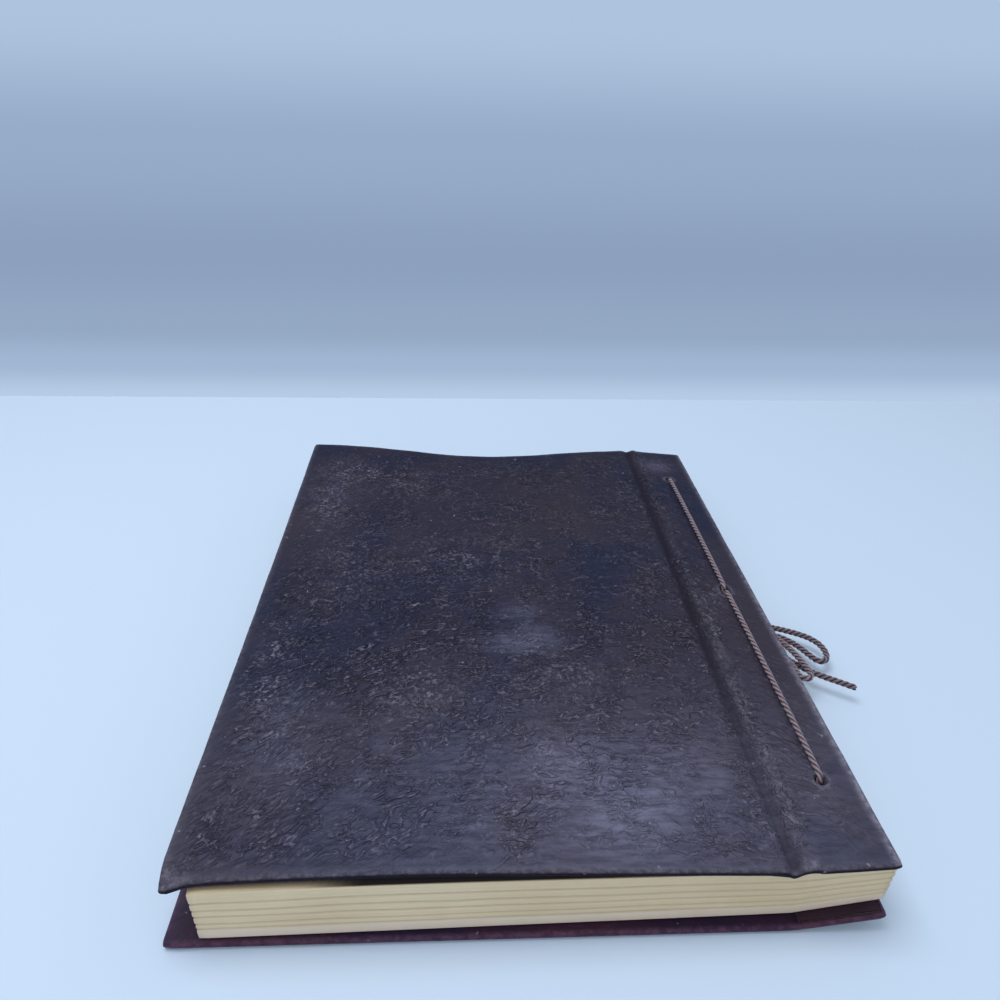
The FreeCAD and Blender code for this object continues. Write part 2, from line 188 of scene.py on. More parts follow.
def lattice_noise(x, y, seed):
    """Gradient noise of about -0.7 to 0.7: each lattice corner's slope times the offset from it,
    blended by 6t^5 - 15t^4 + 10t^3."""
    turns = np.random.default_rng(seed).uniform(0.0, 2.0 * np.pi, (LATTICE, LATTICE))
    column, row = np.floor(x).astype(int), np.floor(y).astype(int)
    u, v = x - column, y - row

    def corner(right, up):
        turn = turns[(column + right) % LATTICE, (row + up) % LATTICE]
        return np.cos(turn) * (u - right) + np.sin(turn) * (v - up)

    def ease(t):
        return t ** 3 * (t * (6.0 * t - 15.0) + 10.0)

    low = mix(corner(0, 0), corner(1, 0), ease(u))
    return mix(low, mix(corner(0, 1), corner(1, 1), ease(u)), ease(v))


def crowded_lines(low, high, count, places, tightness, width):
    """Positions from low to high at equal shares of a density, which is 1 plus a bell at each place."""
    t = np.linspace(low, high, DENSITY_SAMPLES)
    density = 1.0 + sum(tightness * bell(t - place, width) for place in places)
    share = np.cumsum(density) - density[0]
    return np.interp(np.linspace(0.0, 1.0, count), share / share[-1], t)


def stepped_lines(lines, places, step):
    """Moves two neighbouring lines to each place, a small step apart, so that a sharp edge fits there.
    The first and last line stay."""
    lines = lines.copy()
    for place, outward in places:
        k = int(np.clip(np.argmin(np.abs(lines - place)), 1, len(lines) - 2))
        lines[k] = place
        if 0 < k + outward < len(lines) - 1:
            lines[k + outward] = place + outward * step
    return lines


# Meshes

def grid_quads(columns, rows, start=0, upward=True):
    """Quads of a grid of points, numbered row by row from start."""
    grid = start + np.arange(columns * rows).reshape(columns, rows)
    corners = [grid[:-1, :-1], grid[1:, :-1], grid[1:, 1:], grid[:-1, 1:]]
    quads = np.stack(corners, axis=-1).reshape(-1, 4)
    return quads if upward else quads[:, ::-1]


def grid_border(columns, rows, start=0):
    """Numbers of the points round a grid's edge, anticlockwise from its low corner."""
    return border_values(start + np.arange(columns * rows).reshape(columns, rows))


def slab_faces(upper_size, ring_count, lower_size):
    """Faces of a closed slab: an upper grid, rings round its edge and a lower grid, whose edge has
    as many points as the rings, or a third as many."""
    columns, rows = upper_size
    loop = grid_border(columns, rows)
    faces = grid_quads(columns, rows).tolist()
    start = columns * rows
    for _ in range(ring_count):
        below = start + np.arange(len(loop))
        quads = [loop, below, np.roll(below, -1), np.roll(loop, -1)]
        faces += np.stack(quads, axis=-1).tolist()
        loop = below
        start += len(loop)
    edge = grid_border(*lower_size, start)
    if len(edge) == len(loop):
        joins = [loop, edge, np.roll(edge, -1), np.roll(loop, -1)]
    else:
        fine = loop.reshape(-1, 3)
        joins = [fine[:, 0], edge, np.roll(edge, -1), np.roll(fine[:, 0], -1), fine[:, 2], fine[:, 1]]
    faces += np.stack(joins, axis=-1).tolist()
    return faces + grid_quads(*lower_size, start, upward=False).tolist()


def border_values(grid):
    """Values of a grid round its edge, in the order of grid_border."""
    return np.concatenate([grid[:-1, 0], grid[-1, :-1], grid[:0:-1, -1], grid[0, :0:-1]])


def outward_directions(columns, rows):
    """Unit vectors that point out of a grid's edge, halfway between the two sides at a corner."""
    x, y = np.zeros((columns, rows)), np.zeros((columns, rows))
    x[0], x[-1] = -1.0, 1.0
    y[:, 0], y[:, -1] = -1.0, 1.0
    sides = np.stack([border_values(x), border_values(y)], axis=-1)
    return sides / np.linalg.norm(sides, axis=-1, keepdims=True)


def new_piece(name, points, faces, material, body, attributes=()):
    """A mesh piece from points in millimetres, riding on a body."""
    mesh = bpy.data.meshes.new(name)
    mesh.from_pydata(points * MM, [], faces)
    mesh.shade_smooth()
    for attribute, values in dict(attributes).items():
        kind, field = ("FLOAT_VECTOR", "vector") if values.ndim == 2 else ("FLOAT", "value")
        layer = mesh.attributes.new(attribute, kind, "POINT")
        layer.data.foreach_set(field, values.astype(np.float32).ravel())
    mesh.materials.append(material)
    mesh.update()
    piece = bpy.data.objects.new(name, mesh)
    bpy.context.scene.collection.objects.link(piece)
    if body:
        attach(piece, body)
    return piece


# Node graphs

class Graph:
    """Adds nodes to a node tree. An input may be a number, a colour or another node's output."""

    def __init__(self, tree):
        self.tree = tree

    def put(self, socket, value):
        if isinstance(value, bpy.types.NodeSocket):
            self.tree.links.new(value, socket)
        elif value is not None:
            socket.default_value = opaque(value) if socket.type == "RGBA" else value

    def add(self, kind, inputs=(), **settings):
        node = self.tree.nodes.new(kind)
        for key, value in settings.items():
            setattr(node, key, value)
        for key, value in dict(inputs).items():
            self.put(node.inputs[key], value)
        return node

    def math(self, operation, a, b=None):
        return self.add("ShaderNodeMath", {0: a, 1: b}, operation=operation).outputs[0]

    def times(self, product, *factors):
        """Product of all its inputs, from the first to the last."""
        for factor in factors:
            product = self.math("MULTIPLY", product, factor)
        return product

    def scaled(self, place, factors):
        return self.add("ShaderNodeVectorMath", {0: place, 1: factors}, operation="MULTIPLY").outputs[0]

    def combine(self, x, y, z):
        return self.add("ShaderNodeCombineXYZ", {0: x, 1: y, 2: z}).outputs[0]

    def remap(self, value, low, high, to_low=0.0, to_high=1.0):
        inputs = {"Value": value, "From Min": low, "From Max": high, "To Min": to_low, "To Max": to_high}
        return self.add("ShaderNodeMapRange", inputs, interpolation_type="SMOOTHSTEP").outputs[0]

    def blend(self, factor, a, b):
        node = self.add("ShaderNodeMix", data_type="RGBA")
        for index, value in ((0, factor), (6, a), (7, b)):
            self.put(node.inputs[index], value)
        return node.outputs[2]

    def layers(self, colour, *layers):
        """Lays each layer's tone over the colour, by its share."""
        for share, tone in layers:
            colour = self.blend(share, colour, tone)
        return colour

    def noise(self, place, scale, detail=3.0, roughness=0.55, distortion=0.0):
        inputs = {"Vector": place, "Scale": scale, "Detail": detail, "Roughness": roughness,
                  "Distortion": distortion}
        return self.add("ShaderNodeTexNoise", inputs).outputs[0]

    def group(self, name, build, inputs):
        """Outputs of a shared node group, which is built the first time it is asked for."""
        tree = bpy.data.node_groups.get(name) or build(name)
        return self.add("ShaderNodeGroup", inputs, node_tree=tree).outputs

    def clouds(self, place, scale):
        return self.group("Slow fading", build_clouds, {"Place": place, "Scale": scale})["Cloud"]

    def attribute(self, name, output="Fac"):
        return self.add("ShaderNodeAttribute", attribute_name=name).outputs[output]

    def attributes(self, *names):
        return [self.attribute(name) for name in names]

    def object_place(self):
        return self.add("ShaderNodeTexCoord").outputs["Object"]

    def bump(self, height, distance, strength=1.0):
        inputs = {"Height": height, "Distance": distance, "Strength": strength}
        return self.add("ShaderNodeBump", inputs).outputs[0]

    def finish(self, **inputs):
        """A Principled surface with the given inputs, named with underscores for spaces."""
        named = {key.replace("_", " "): value for key, value in inputs.items()}
        shader = self.add("ShaderNodeBsdfPrincipled", named)
        self.add("ShaderNodeOutputMaterial", {"Surface": shader.outputs[0]})


def opaque(colour):
    """A node's colour: red, green and blue with an alpha of 1."""
    return tuple(colour[:3]) + (1.0,)


def new_material(name):
    """An empty material and its graph."""
    material = bpy.data.materials.new(name)
    material.use_nodes = True
    material.node_tree.nodes.clear()
    return material, Graph(material.node_tree)


def new_group(name, inputs, outputs):
    """An empty shader node group with named float or vector sockets, and its two ends."""
    tree = bpy.data.node_groups.new(name, "ShaderNodeTree")
    for direction, sockets in (("INPUT", inputs), ("OUTPUT", outputs)):
        for key, kind in sockets:
            tree.interface.new_socket(name=key, in_out=direction, socket_type="NodeSocket" + kind)
    graph = Graph(tree)
    return graph, graph.add("NodeGroupInput"), graph.add("NodeGroupOutput")


def build_crackle(name):
    """Old creased hide: crests lie where a stretched noise is near its middle value, with a hollow beside
    each. They come in patches, are broken up by a finer noise, and carry a fine grain. The crack output is
    painted shade in the hollows, and the crest output marks rubbed crest tops that also carry a painted
    highlight."""
    graph, given, made = new_group(
        name, [("Place", "Vector"), ("Grain Line", "Vector"), ("Relief", "Float")],
        [("Height", "Float"), ("Crack", "Float"), ("Crest Highlight", "Float"), ("Grain", "Float")])
    place, line = (graph.scaled(given.outputs[key], (1 / MM,) * 3) for key in ("Place", "Grain Line"))
    relief = given.outputs["Relief"]

    def stretched(stretch):
        return graph.noise(graph.scaled(line, stretch), 1.0, 1.5, 0.45, 0.35)

    def near(value, middle, width):
        return graph.remap(graph.math("ABSOLUTE", graph.math("SUBTRACT", value, middle)), width, 0.0)

    broad, fine = stretched((0.115, 0.25, 1.0)), stretched((0.30, 0.52, 1.0))
    grain = graph.noise(place, 1.5, 3.0, 0.6)
    patch = graph.remap(graph.noise(place, 0.05, 3.0, 0.6), 0.38, 0.60, 0.12, 1.0)
    cluster = graph.remap(graph.noise(place, 0.09, 3.0, 0.6), 0.42, 0.60, 0.1, 1.0)
    broken = graph.remap(graph.noise(place, 0.62, 3.0, 0.65), 0.42, 0.60, 0.15, 1.0)
    soft = graph.math("ADD", graph.times(near(broad, 0.5, 0.12), patch, 0.8),
                      graph.times(near(fine, 0.5, 0.13), cluster, 0.4))
    hollow = graph.math("MAXIMUM", graph.times(near(broad, 0.585, 0.06), patch),
                        graph.times(near(fine, 0.60, 0.07), cluster, 0.7))
    # Thin crest lines: paler by rubbing and by a painted highlight
    rubbed = graph.math("MAXIMUM", graph.times(near(broad, 0.5, 0.038), patch),
                        graph.times(near(fine, 0.5, 0.048), cluster, 0.8))
    height = graph.times(graph.math("SUBTRACT", soft, graph.times(hollow, 0.3)), relief)
    height = graph.math("ADD", height, graph.times(grain, 0.10))
    # The crack output is painted shade in the hollows; the crest output is rubbed crest tops with a painted
    # highlight
    for key, value in (("Height", height), ("Crack", graph.times(hollow, relief)),
                       ("Crest Highlight", graph.times(rubbed, broken, relief)), ("Grain", grain)):
        graph.put(made.inputs[key], value)
    return graph.tree


def build_clouds(name):
    """Slow uneven fading of an old surface, from 0 to 1."""
    graph, given, made = new_group(name, [("Place", "Vector"), ("Scale", "Float")], [("Cloud", "Float")])
    broad = graph.noise(given.outputs["Place"], given.outputs["Scale"], 4.0, 0.62, 0.4)
    graph.put(made.inputs["Cloud"], graph.remap(broad, 0.32, 0.7))
    return graph.tree


def hide_material(name, look, tint):
    """Creased leather: dark and brown fading, rubbed crests with a painted highlight, painted shade in the
    cracks and the valleys, pale flecks, a painted bluish sheen and worn edges.
    """
    material, graph = new_material(name)
    place = graph.attribute("rest", "Vector")
    relief, flecks, haze, edge, valley = graph.attributes("relief", "flecks", "haze", "edge", "valley")
    crackle = graph.group("Crackled hide", build_crackle, {
        "Place": place, "Grain Line": graph.attribute("line", "Vector"), "Relief": relief})
    speck = graph.remap(graph.noise(place, 560.0, 3.0, 0.7), 0.50, 0.62)
    patch = graph.remap(graph.noise(place, 110.0, 4.0, 0.65), 0.40, 0.60)
    stray = graph.remap(graph.noise(place, 300.0, 2.0, 0.6), 0.70, 0.76)
    streak = graph.noise(graph.scaled(place, (90.0, 420.0, 90.0)), 1.0, 3.0, 0.6)
    scrape = graph.remap(graph.noise(place, 380.0, 4.0, 0.7), 0.40, 0.62, 0.35, 1.0)
    colour = graph.layers(
        graph.blend(graph.clouds(place, 13.0), tint(look.hide_dark), tint(look.hide_brown)),
        # Painted shade: the crack hollows are darkened
        (graph.times(crackle["Crack"], 0.55), tint(look.hide_shade)),
        # Painted shade: the hinge valley, the lower turns of the folded edges and the back crease are
        # darkened
        (graph.times(valley, 0.85), tint(look.hide_shade)),
        # Crest tops: rubbed, with a painted highlight
        (graph.times(crackle["Crest Highlight"], 0.62), tint(look.hide_rubbed_highlight)),
        (graph.times(speck, patch, 0.55, flecks), look.hide_bloom),
        (graph.times(stray, 0.4), look.hide_bloom),
        # Painted reflection: a streaky bluish sheen laid into the colour
        (graph.times(haze, graph.remap(streak, 0.3, 0.7, 0.35, 0.85)), look.hide_sheen),
        (graph.times(edge, scrape, 0.75), tint(look.hide_worn)))
    rough = graph.math("ADD", graph.remap(crackle["Grain"], 0.2, 0.8, 0.44, 0.58), graph.times(valley, 0.38))
    graph.finish(Base_Color=colour, Roughness=rough, Normal=graph.bump(crackle["Height"], 0.0009),
                 Specular_IOR_Level=look.hide_gloss)
    return material


def maroon_tint(colour):
    """The back cover has kept more of its red: red lifted, green lowered."""
    red, green, blue = colour
    return red * 1.45, green * 0.72, blue * 0.95


def lining_material(look):
    """Thin smooth lining leather: dark maroon, softly mottled, with a fine pressed grain."""
    material, graph = new_material("Lining")
    place = graph.object_place()
    fine = graph.noise(place, 900.0, 4.0, 0.7)
    colour = graph.layers(look.lining, (graph.clouds(place, 24.0), (0.034, 0.014, 0.027)),
                          (graph.remap(fine, 0.5, 0.8, 0.0, 0.25), (0.05, 0.03, 0.038)))
    graph.finish(Base_Color=colour, Roughness=graph.remap(fine, 0.2, 0.8, 0.55, 0.72),
                 Normal=graph.bump(fine, 0.00012), Specular_IOR_Level=0.2)
    return material


def board_material():
    """Grey pulp board with short fibres."""
    material, graph = new_material("Board")
    fibres = graph.noise(graph.scaled(graph.object_place(), (1.0, 0.35, 1.0)), 1100.0, 4.0, 0.75)
    colour = graph.blend(fibres, (0.10, 0.085, 0.07), (0.30, 0.27, 0.22))
    graph.finish(Base_Color=colour, Roughness=0.9, Normal=graph.bump(fibres, 0.0001))
    return material


def paper_material(look):
    """Edges of aged leaves: fine lines along the leaves, darker grooves between the sections, and painted
    shade on the block's top face under the cover.
    """
    material, graph = new_material("Leaves")
    place = graph.object_place()
    leaf, groove, lowest, face = graph.attributes("leaf", "groove", "lowest", "face")
    along = graph.noise(graph.scaled(place, (1.0, 1.0, 0.2)), 60.0, 3.0, 0.6)
    lines = graph.noise(graph.combine(graph.times(leaf, 150.0), along, 0.0), 1.0, 3.0, 0.7)
    colour = graph.layers(
        look.paper, (graph.clouds(place, 16.0), look.paper_aged),
        (graph.remap(lines, 0.35, 0.75, 0.0, 0.35), (0.49, 0.43, 0.29)),
        (graph.times(lowest, 0.6), (0.74, 0.64, 0.56)), (graph.times(groove, 0.55), (0.40, 0.33, 0.22)),
        # Painted shade: the top face under the cover is given a dark colour
        (face, look.painted_top_shade))
    graph.finish(Base_Color=colour, Roughness=0.85, Normal=graph.bump(lines, 0.00025, 0.8))
    return material


def cord_material(look):
    """Twisted yarn: dull mauve brown strands with paler worn tops, red spots, fine twisted fibres and painted
    shade in the gaps between the strands.
    """
    material, graph = new_material("Twisted cord")
    along, around, strand, outer, wear = graph.attributes("along", "around", "strand", "outer", "wear")
    spin = graph.math("ADD", graph.times(along, 5.5), graph.times(around, 9.0))
    fibre = graph.noise(graph.combine(spin, strand, 0.0), 1.0, 3.0, 0.7)
    spots = graph.noise(graph.combine(graph.times(along, 0.22), strand, 3.0), 1.0, 3.0, 0.7)
    worn = graph.times(graph.remap(outer, 0.25, 0.95), graph.remap(fibre, 0.30, 0.62), wear, 0.72)
    # Painted shade on the inner sides of the strands, where they meet
    gap_shade = graph.times(graph.remap(outer, 0.80, 0.25), graph.remap(wear, 0.45, 1.0, 1.0, 0.5))
    colour = graph.layers(
        look.cord_dark, (graph.remap(fibre, 0.3, 0.7), look.cord_mauve),
        (graph.remap(spots, 0.53, 0.64, 0.0, 0.85), look.cord_red),
        (worn, look.cord_pale), (gap_shade, (0.010, 0.005, 0.008)))
    graph.finish(Base_Color=colour, Roughness=0.75, Sheen_Weight=0.15,
                 Normal=graph.bump(fibre, 0.0003, 0.9))
    return material


# Heights of the covers and the block, as in the part's source

def waves(t, bow, lean, ripple=0.0):
    """bow sin(pi t) + lean sin(2 pi t) + ripple sin(3 pi t)"""
    return bow * np.sin(np.pi * t) + lean * np.sin(2 * np.pi * t) + ripple * np.sin(3 * np.pi * t)


def warped_height(x, y, near_bow, near_lean, far_dip):
    """Straight between four corners, plus the warp of each edge and the crushed corner."""
    s = (x - FORE_X) / (CREASE_X - FORE_X)
    v = (y - NEAR_Y) / LENGTH
    near = mix(FORE_NEAR_Z, CREASE_NEAR_Z, s) + waves(s, near_bow, near_lean)
    far = mix(FORE_FAR_Z, CREASE_FAR_Z, s) + waves(s, far_dip, FAR_LEAN, FAR_RIPPLE)
    droop = CORNER_DROOP * bell(x - FORE_X, DROOP_ACROSS) * bell(y - NEAR_Y, DROOP_ALONG)
    return mix(near, far, v) + (1.0 - s) * waves(v, FORE_EDGE_DIP, 0.0) - droop


def strip_height(x, y):
    """Straight from the crease to the spine edge, at both ends."""
    s = (x - CREASE_X) / (SPINE_X - CREASE_X)
    v = (y - NEAR_Y) / LENGTH
    return mix(mix(CREASE_NEAR_Z, SPINE_NEAR_Z, s), mix(CREASE_FAR_Z, SPINE_FAR_Z, s), v)


def front_height(x, y, warp=FRONT_WARP):
    """The warped panel up to the crease, and the straight strip past it."""
    return np.where(x < CREASE_X, warped_height(x, y, *warp), strip_height(x, y))


def back_height(x):
    """Underside of the back cover: flat, then rising evenly from the crease to the spine edge."""
    return BACK_STRIP_RISE * np.maximum(0.0, x - BACK_CREASE_X) / (SPINE_X - BACK_CREASE_X)


# Leather

EDGE_ROUND = 1.5
EDGE_OUT, EDGE_DOWN = (0.72, 1.0, 0.95, 0.74, 0.38), (0.07, 0.24, 0.5, 0.77, 0.94)
EDGE_RINGS = len(EDGE_OUT)
WINDOW_STEP, WINDOW_DEPTH, LINING_INSET = 0.15, 0.55, 2.0
CREASE_REACH = 4.0
UPPER_GRID, LOWER_GRID, BACK_GRID = (217, 289), (73, 97), (113, 137)
VALLEY_DEPTH, VALLEY_EASE, VALLEY_WIDTH = 1.55, 0.5, 2.2
RIDGE_HEIGHT, RIDGE_PLACE, RIDGE_WIDTH = 1.1, 5.1, 2.6
SHOULDER_HEIGHT, SHOULDER_PLACE = 0.15, 5.0
BACK_WAVE, BACK_GROOVE, BACK_CREASE_SHARE, BACK_LOWEST = 0.10, 1.5, 0.5, 0.02
HOLE_DENT, RIM_HEIGHT, RIM_PLACE = 2.5, 0.45, 3.1


def edge_distance(x, y, fore=FORE_X, near=NEAR_Y, far=FAR_Y):
    """Distance from the nearest edge of a cover."""
    return np.minimum(np.minimum(x - fore, SPINE_X - x), np.minimum(y - near, far - y))


def hole_distance(x, y):
    """Distance from the nearest punched hole's middle, or from the middle hole's short line."""
    middle_x = SPINE_X - HOLE_FROM_SPINE
    half = MIDDLE_HOLE_LENGTH / 2 - HOLE_RADIUS
    lean = math.tan(HOLE_SKEW) * HOLE_SPACING
    ends = [np.hypot(x - middle_x + i * lean, y - i * HOLE_SPACING) for i in (-1, 1)]
    middle = np.hypot(x - middle_x, np.maximum(0.0, np.abs(y) - half))
    return np.minimum(middle, np.minimum(*ends))


def grain_line(x, y):
    """Coordinates along and across the creases, which rise to the right by the fore edge and fall to
    the right by the hinge, and drift a little everywhere."""
    along = x + 3.5 * lattice_noise(x / 21, y / 19, 51)
    across = y + 0.0031 * (x - 22.0) ** 2 + 3.0 * lattice_noise(x / 17, y / 15, 52)
    return along, across + 0.9 * lattice_noise(x / 5.5, y / 5.0, 53)


def creases(x, y, seed):
    """Relief of old hide, about -0.8 to 1: crests where stretched noise of two sizes is near zero,
    with hollows between them."""
    u, v = grain_line(x, y)
    long_crest = soft_step(0.26, 0.0, np.abs(lattice_noise(u / 12, v / 4.9, seed)))
    short_crest = soft_step(0.28, 0.0, np.abs(lattice_noise(u / 6.2, v / 3.4, seed + 1)))
    hollow = lattice_noise(u / 9, v / 5.2, seed + 2)
    return 0.62 * long_crest + 0.38 * short_crest + 0.9 * hollow - 0.4


def crease_profile(x, y):
    """Section across the front hinge: a narrow valley that wanders a little, a lumpy ridge on the
    strip's side and a low shoulder on the panel's side."""
    d = x - CREASE_X + 0.7 * lattice_noise(y / 23, y * 0.0, 61)
    lumps = 0.75 + 0.9 * lattice_noise(x / 5.5, y / 6.5, 62) + 0.5 * lattice_noise(x / 3.2, y / 3.4, 63)
    depth = VALLEY_DEPTH - VALLEY_EASE * soft_step(-40.0, 120.0, y)
    ridge = RIDGE_HEIGHT * lumps * bell(d - RIDGE_PLACE, RIDGE_WIDTH)
    shoulder = SHOULDER_HEIGHT * bell(d + SHOULDER_PLACE, RIDGE_WIDTH)
    return -depth * bell(d + 0.4, VALLEY_WIDTH) + ridge + shoulder


def marks(x, y, places):
    """Sum of soft oval patches, at most 1."""
    total = sum(s * bell(x - a, p) * bell(y - b, q) for a, b, p, q, s in places)
    return np.minimum(1.0, total)


def front_relief(x, y, border):
    """Share of creasing at each point: full on the field, low at the borders and in the valley."""
    relief = 0.15 + 0.85 * soft_step(1.5, 13.0, border + 5.0 * lattice_noise(x / 17, y / 17, 71))
    panel = 0.75 + 0.35 * soft_step(60.0, -60.0, y) + 0.35 * lattice_noise(x / 34, y / 34, 72)
    d = x - CREASE_X
    strip = 0.45 + 0.65 * bell(d - 5.5, 4.5)
    relief = relief * np.where(d < 0, panel, strip)
    return np.clip(relief * (1.0 - 0.9 * bell(d + 0.5, 1.8)), 0.0, 1.2)


def front_surface(x, y, relief, look):
    """Outer face of the front cover: its warp, the hinge valley, the creases, the holes and their rims."""
    hole = hole_distance(x, y)
    soft = 0.35 * lattice_noise(x / 42, y / 30, 81) + 0.18 * lattice_noise(x / 16, y / 12, 82)
    cord_bed = bell(x - (SPINE_X - HOLE_FROM_SPINE), CORD_DIAMETER)
    cord_bed = cord_bed * soft_step(HOLE_SPACING + 4, HOLE_SPACING, np.abs(y))
    depth = look.crease_depth * relief * (1.0 - 0.75 * cord_bed)
    height = front_height(x, y) + crease_profile(x, y) + depth * creases(x, y, 11)
    height = height + soft * (1.0 - 0.8 * cord_bed)
    rim = RIM_HEIGHT * bell(hole - RIM_PLACE, 0.8) * (1.0 + 0.9 * lattice_noise(x / 2.3, y / 2.3, 83))
    return height + rim - HOLE_DENT * soft_step(2.35, 1.75, hole)


def edge_rings(x, y, z, depth_of_cover):
    """Folded edge of a cover: rings at set shares of its width and depth, with the sharper turn above."""
    columns, rows = x.shape
    out = EDGE_ROUND * np.array(EDGE_OUT)[:, None]
    down = depth_of_cover * np.array(EDGE_DOWN)[:, None]
    sides = outward_directions(columns, rows)
    ring_x = border_values(x) + out * sides[:, 0]
    ring_y = border_values(y) + out * sides[:, 1]
    ring_z = border_values(z) - down
    return np.stack([ring_x, ring_y, ring_z], axis=-1).reshape(-1, 3)


def flat_points(x, y, z):
    """Three grids as one list of points."""
    return np.stack([x, y, z], axis=-1).reshape(-1, 3)


def lining_field(side, part):
    """Lowest and highest corner of a lining, kept clear of the cover's rounded edges."""
    low, high = node_box(side + "_" + part + "_lining")
    near, far = (NEAR_Y, FAR_Y) if side == "front" else (BACK_NEAR_Y, BACK_FAR_Y)
    low[1], high[1] = max(low[1], near + LINING_INSET), min(high[1], far - LINING_INSET)
    high[0] = min(high[0], SPINE_X - LINING_INSET)
    return low, high


def strip_lining(side, material):
    """Lining of a binding strip, drawn in to the field between the rounded edges."""
    node = frame["nodes"][side + "_strip_lining"]
    mesh = node.data
    points = np.empty(len(mesh.vertices) * 3)
    mesh.vertices.foreach_get("co", points)
    points = points.reshape(-1, 3) / MM
    low, high = lining_field(side, "strip")
    points[:, :2] = np.clip(points[:, :2], low[:2], high[:2])
    faces = [list(polygon.vertices) for polygon in mesh.polygons]
    piece = new_piece(side + "_strip_endpaper", points, faces, material, "binding")
    piece.data.shade_flat()
    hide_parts(side + "_strip_lining")


def lining_windows(side):
    """Fields that the leather leaves open for the two linings of a cover."""
    return [lining_field(side, part) for part in ("panel", "strip")]


def window_lines(windows, axis, low, high, count):
    """Even lines with a close pair at each side of the windows, so that their edges are sharp."""
    places = sorted({(float(low_corner[axis]), -1) for low_corner, _ in windows}
                    | {(float(high_corner[axis]), 1) for _, high_corner in windows})
    lines = np.linspace(low, high, count)
    return stepped_lines(lines, places, WINDOW_STEP)


def window_mask(x, y, windows):
    """1 inside the windows, 0 outside."""
    inside = np.zeros(x.shape, bool)
    for low, high in windows:
        inside |= ((x >= low[0] - 0.01) & (x <= high[0] + 0.01)
                   & (y >= low[1] - 0.01) & (y <= high[1] + 0.01))
    return inside.astype(float)


def front_wear(x, y, border):
    """Rubbed edges of the upper face: round the holes, at the crushed corner and in a thin line by the spine
    edge. The hinge's ridge is paler by rubbing and by a painted highlight."""
    corner = bell(x - FORE_X, 9.0) * bell(y - NEAR_Y, 7.0)
    spine = bell(x - SPINE_X + 1.0, 1.5) * (0.35 + 0.6 * soft_step(60.0, -60.0, y))
    lumps = np.clip(0.45 + lattice_noise(x / 3.1, y / 4.2, 64), 0.0, 1.0)
    # Hinge ridge: partly rubbing, partly a painted highlight
    ridge = bell(x - CREASE_X - 5.2, 2.8) * lumps * (0.15 + 0.45 * soft_step(60.0, -90.0, y))
    holes = 0.4 * bell(hole_distance(x, y) - 3.2, 1.0)
    return 0.15 * bell(border - 1.5, 1.2) + holes + 0.7 * corner + spine + ridge


def ring_wear(rings):
    """Wear of the folded edge's upper turn, most by the spine edge, and the shade below that turn."""
    turn = np.repeat(np.arange(EDGE_RINGS), len(rings) // EDGE_RINGS)
    spine = bell(rings[:, 0] - SPINE_X, 3.0)
    return (turn < 1) * (0.45 + 0.5 * spine), 0.95 * (turn > 0)


def hide_values(points, relief, edge):
    """Attributes of a leather skin before its own marks: even relief and wear, no painted sheen or painted
    valley shade, the place at rest, and the coordinates along and across the creases."""
    even = {"relief": relief, "flecks": 0.0, "haze": 0.0, "edge": edge, "valley": 0.0}
    values = {key: np.full(len(points), level) for key, level in even.items()}
    along, across = grain_line(points[:, 0], points[:, 1])
    values["line"] = np.stack([along, across, points[:, 2]], axis=-1) * MM
    values["rest"] = points * MM
    return values


def front_leather(look):
    """Leather of the front cover, panel and strip in one skin that bends at the crease."""
    margin = EDGE_ROUND
    upper_x = crowded_lines(FORE_X + margin, SPINE_X - margin, UPPER_GRID[0],
                            (CREASE_X, SPINE_X - HOLE_FROM_SPINE), 1.4, 4.5)
    upper_y = crowded_lines(NEAR_Y + margin, FAR_Y - margin, UPPER_GRID[1],
                            (-HOLE_SPACING, 0.0, HOLE_SPACING), 1.7, 4.5)
    x, y = np.meshgrid(upper_x, upper_y, indexing="ij")
    border = edge_distance(x, y)
    relief = front_relief(x, y, border)
    z = front_surface(x, y, relief, look)
    windows = lining_windows("front")
    lower_x = window_lines(windows, 0, FORE_X + margin, SPINE_X - margin, LOWER_GRID[0])
    lower_y = window_lines(windows, 1, NEAR_Y + margin, FAR_Y - margin, LOWER_GRID[1])
    u, v = np.meshgrid(lower_x, lower_y, indexing="ij")
    lower = front_height(u, v) - (COVER - WINDOW_DEPTH * window_mask(u, v, windows))
    rings = edge_rings(x, y, z, COVER)
    points = np.concatenate([flat_points(x, y, z), rings, flat_points(u, v, lower)])
    values = hide_values(points, 0.15, 0.5)
    top, under = slice(0, x.size), slice(x.size + len(rings), None)
    rim = slice(top.stop, under.start)
    for key, mask in (("relief", relief), ("flecks", marks(x, y, FLECK_MARKS)),
                      # Painted sheen: patches of bluish reflection
                      ("haze", marks(x, y, SHEEN_MARKS)), ("edge", front_wear(x, y, border)),
                      # Painted shade along the hinge valley
                      ("valley", bell(x - CREASE_X + 0.4, 2.7))):
        values[key][top] = mask.ravel()
    # Painted shade on the lower turns of the folded edge
    values["edge"][rim], values["valley"][rim] = ring_wear(rings)
    values["edge"][under] = 0.05
    piece = new_piece("front_leather", points, slab_faces(x.shape, EDGE_RINGS, u.shape),
                      hide_material("Front hide", look, tuple), None, values)
    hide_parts("front_panel_leather", "front_strip_leather")
    axis_z = JOINTS["front_cover_hinge"]["pos_m"][2]
    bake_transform(piece, "front_cover", "binding",
             start=((CREASE_X - CREASE_REACH) * MM, 0.0, axis_z),
             end=((CREASE_X + CREASE_REACH) * MM, 0.0, axis_z))


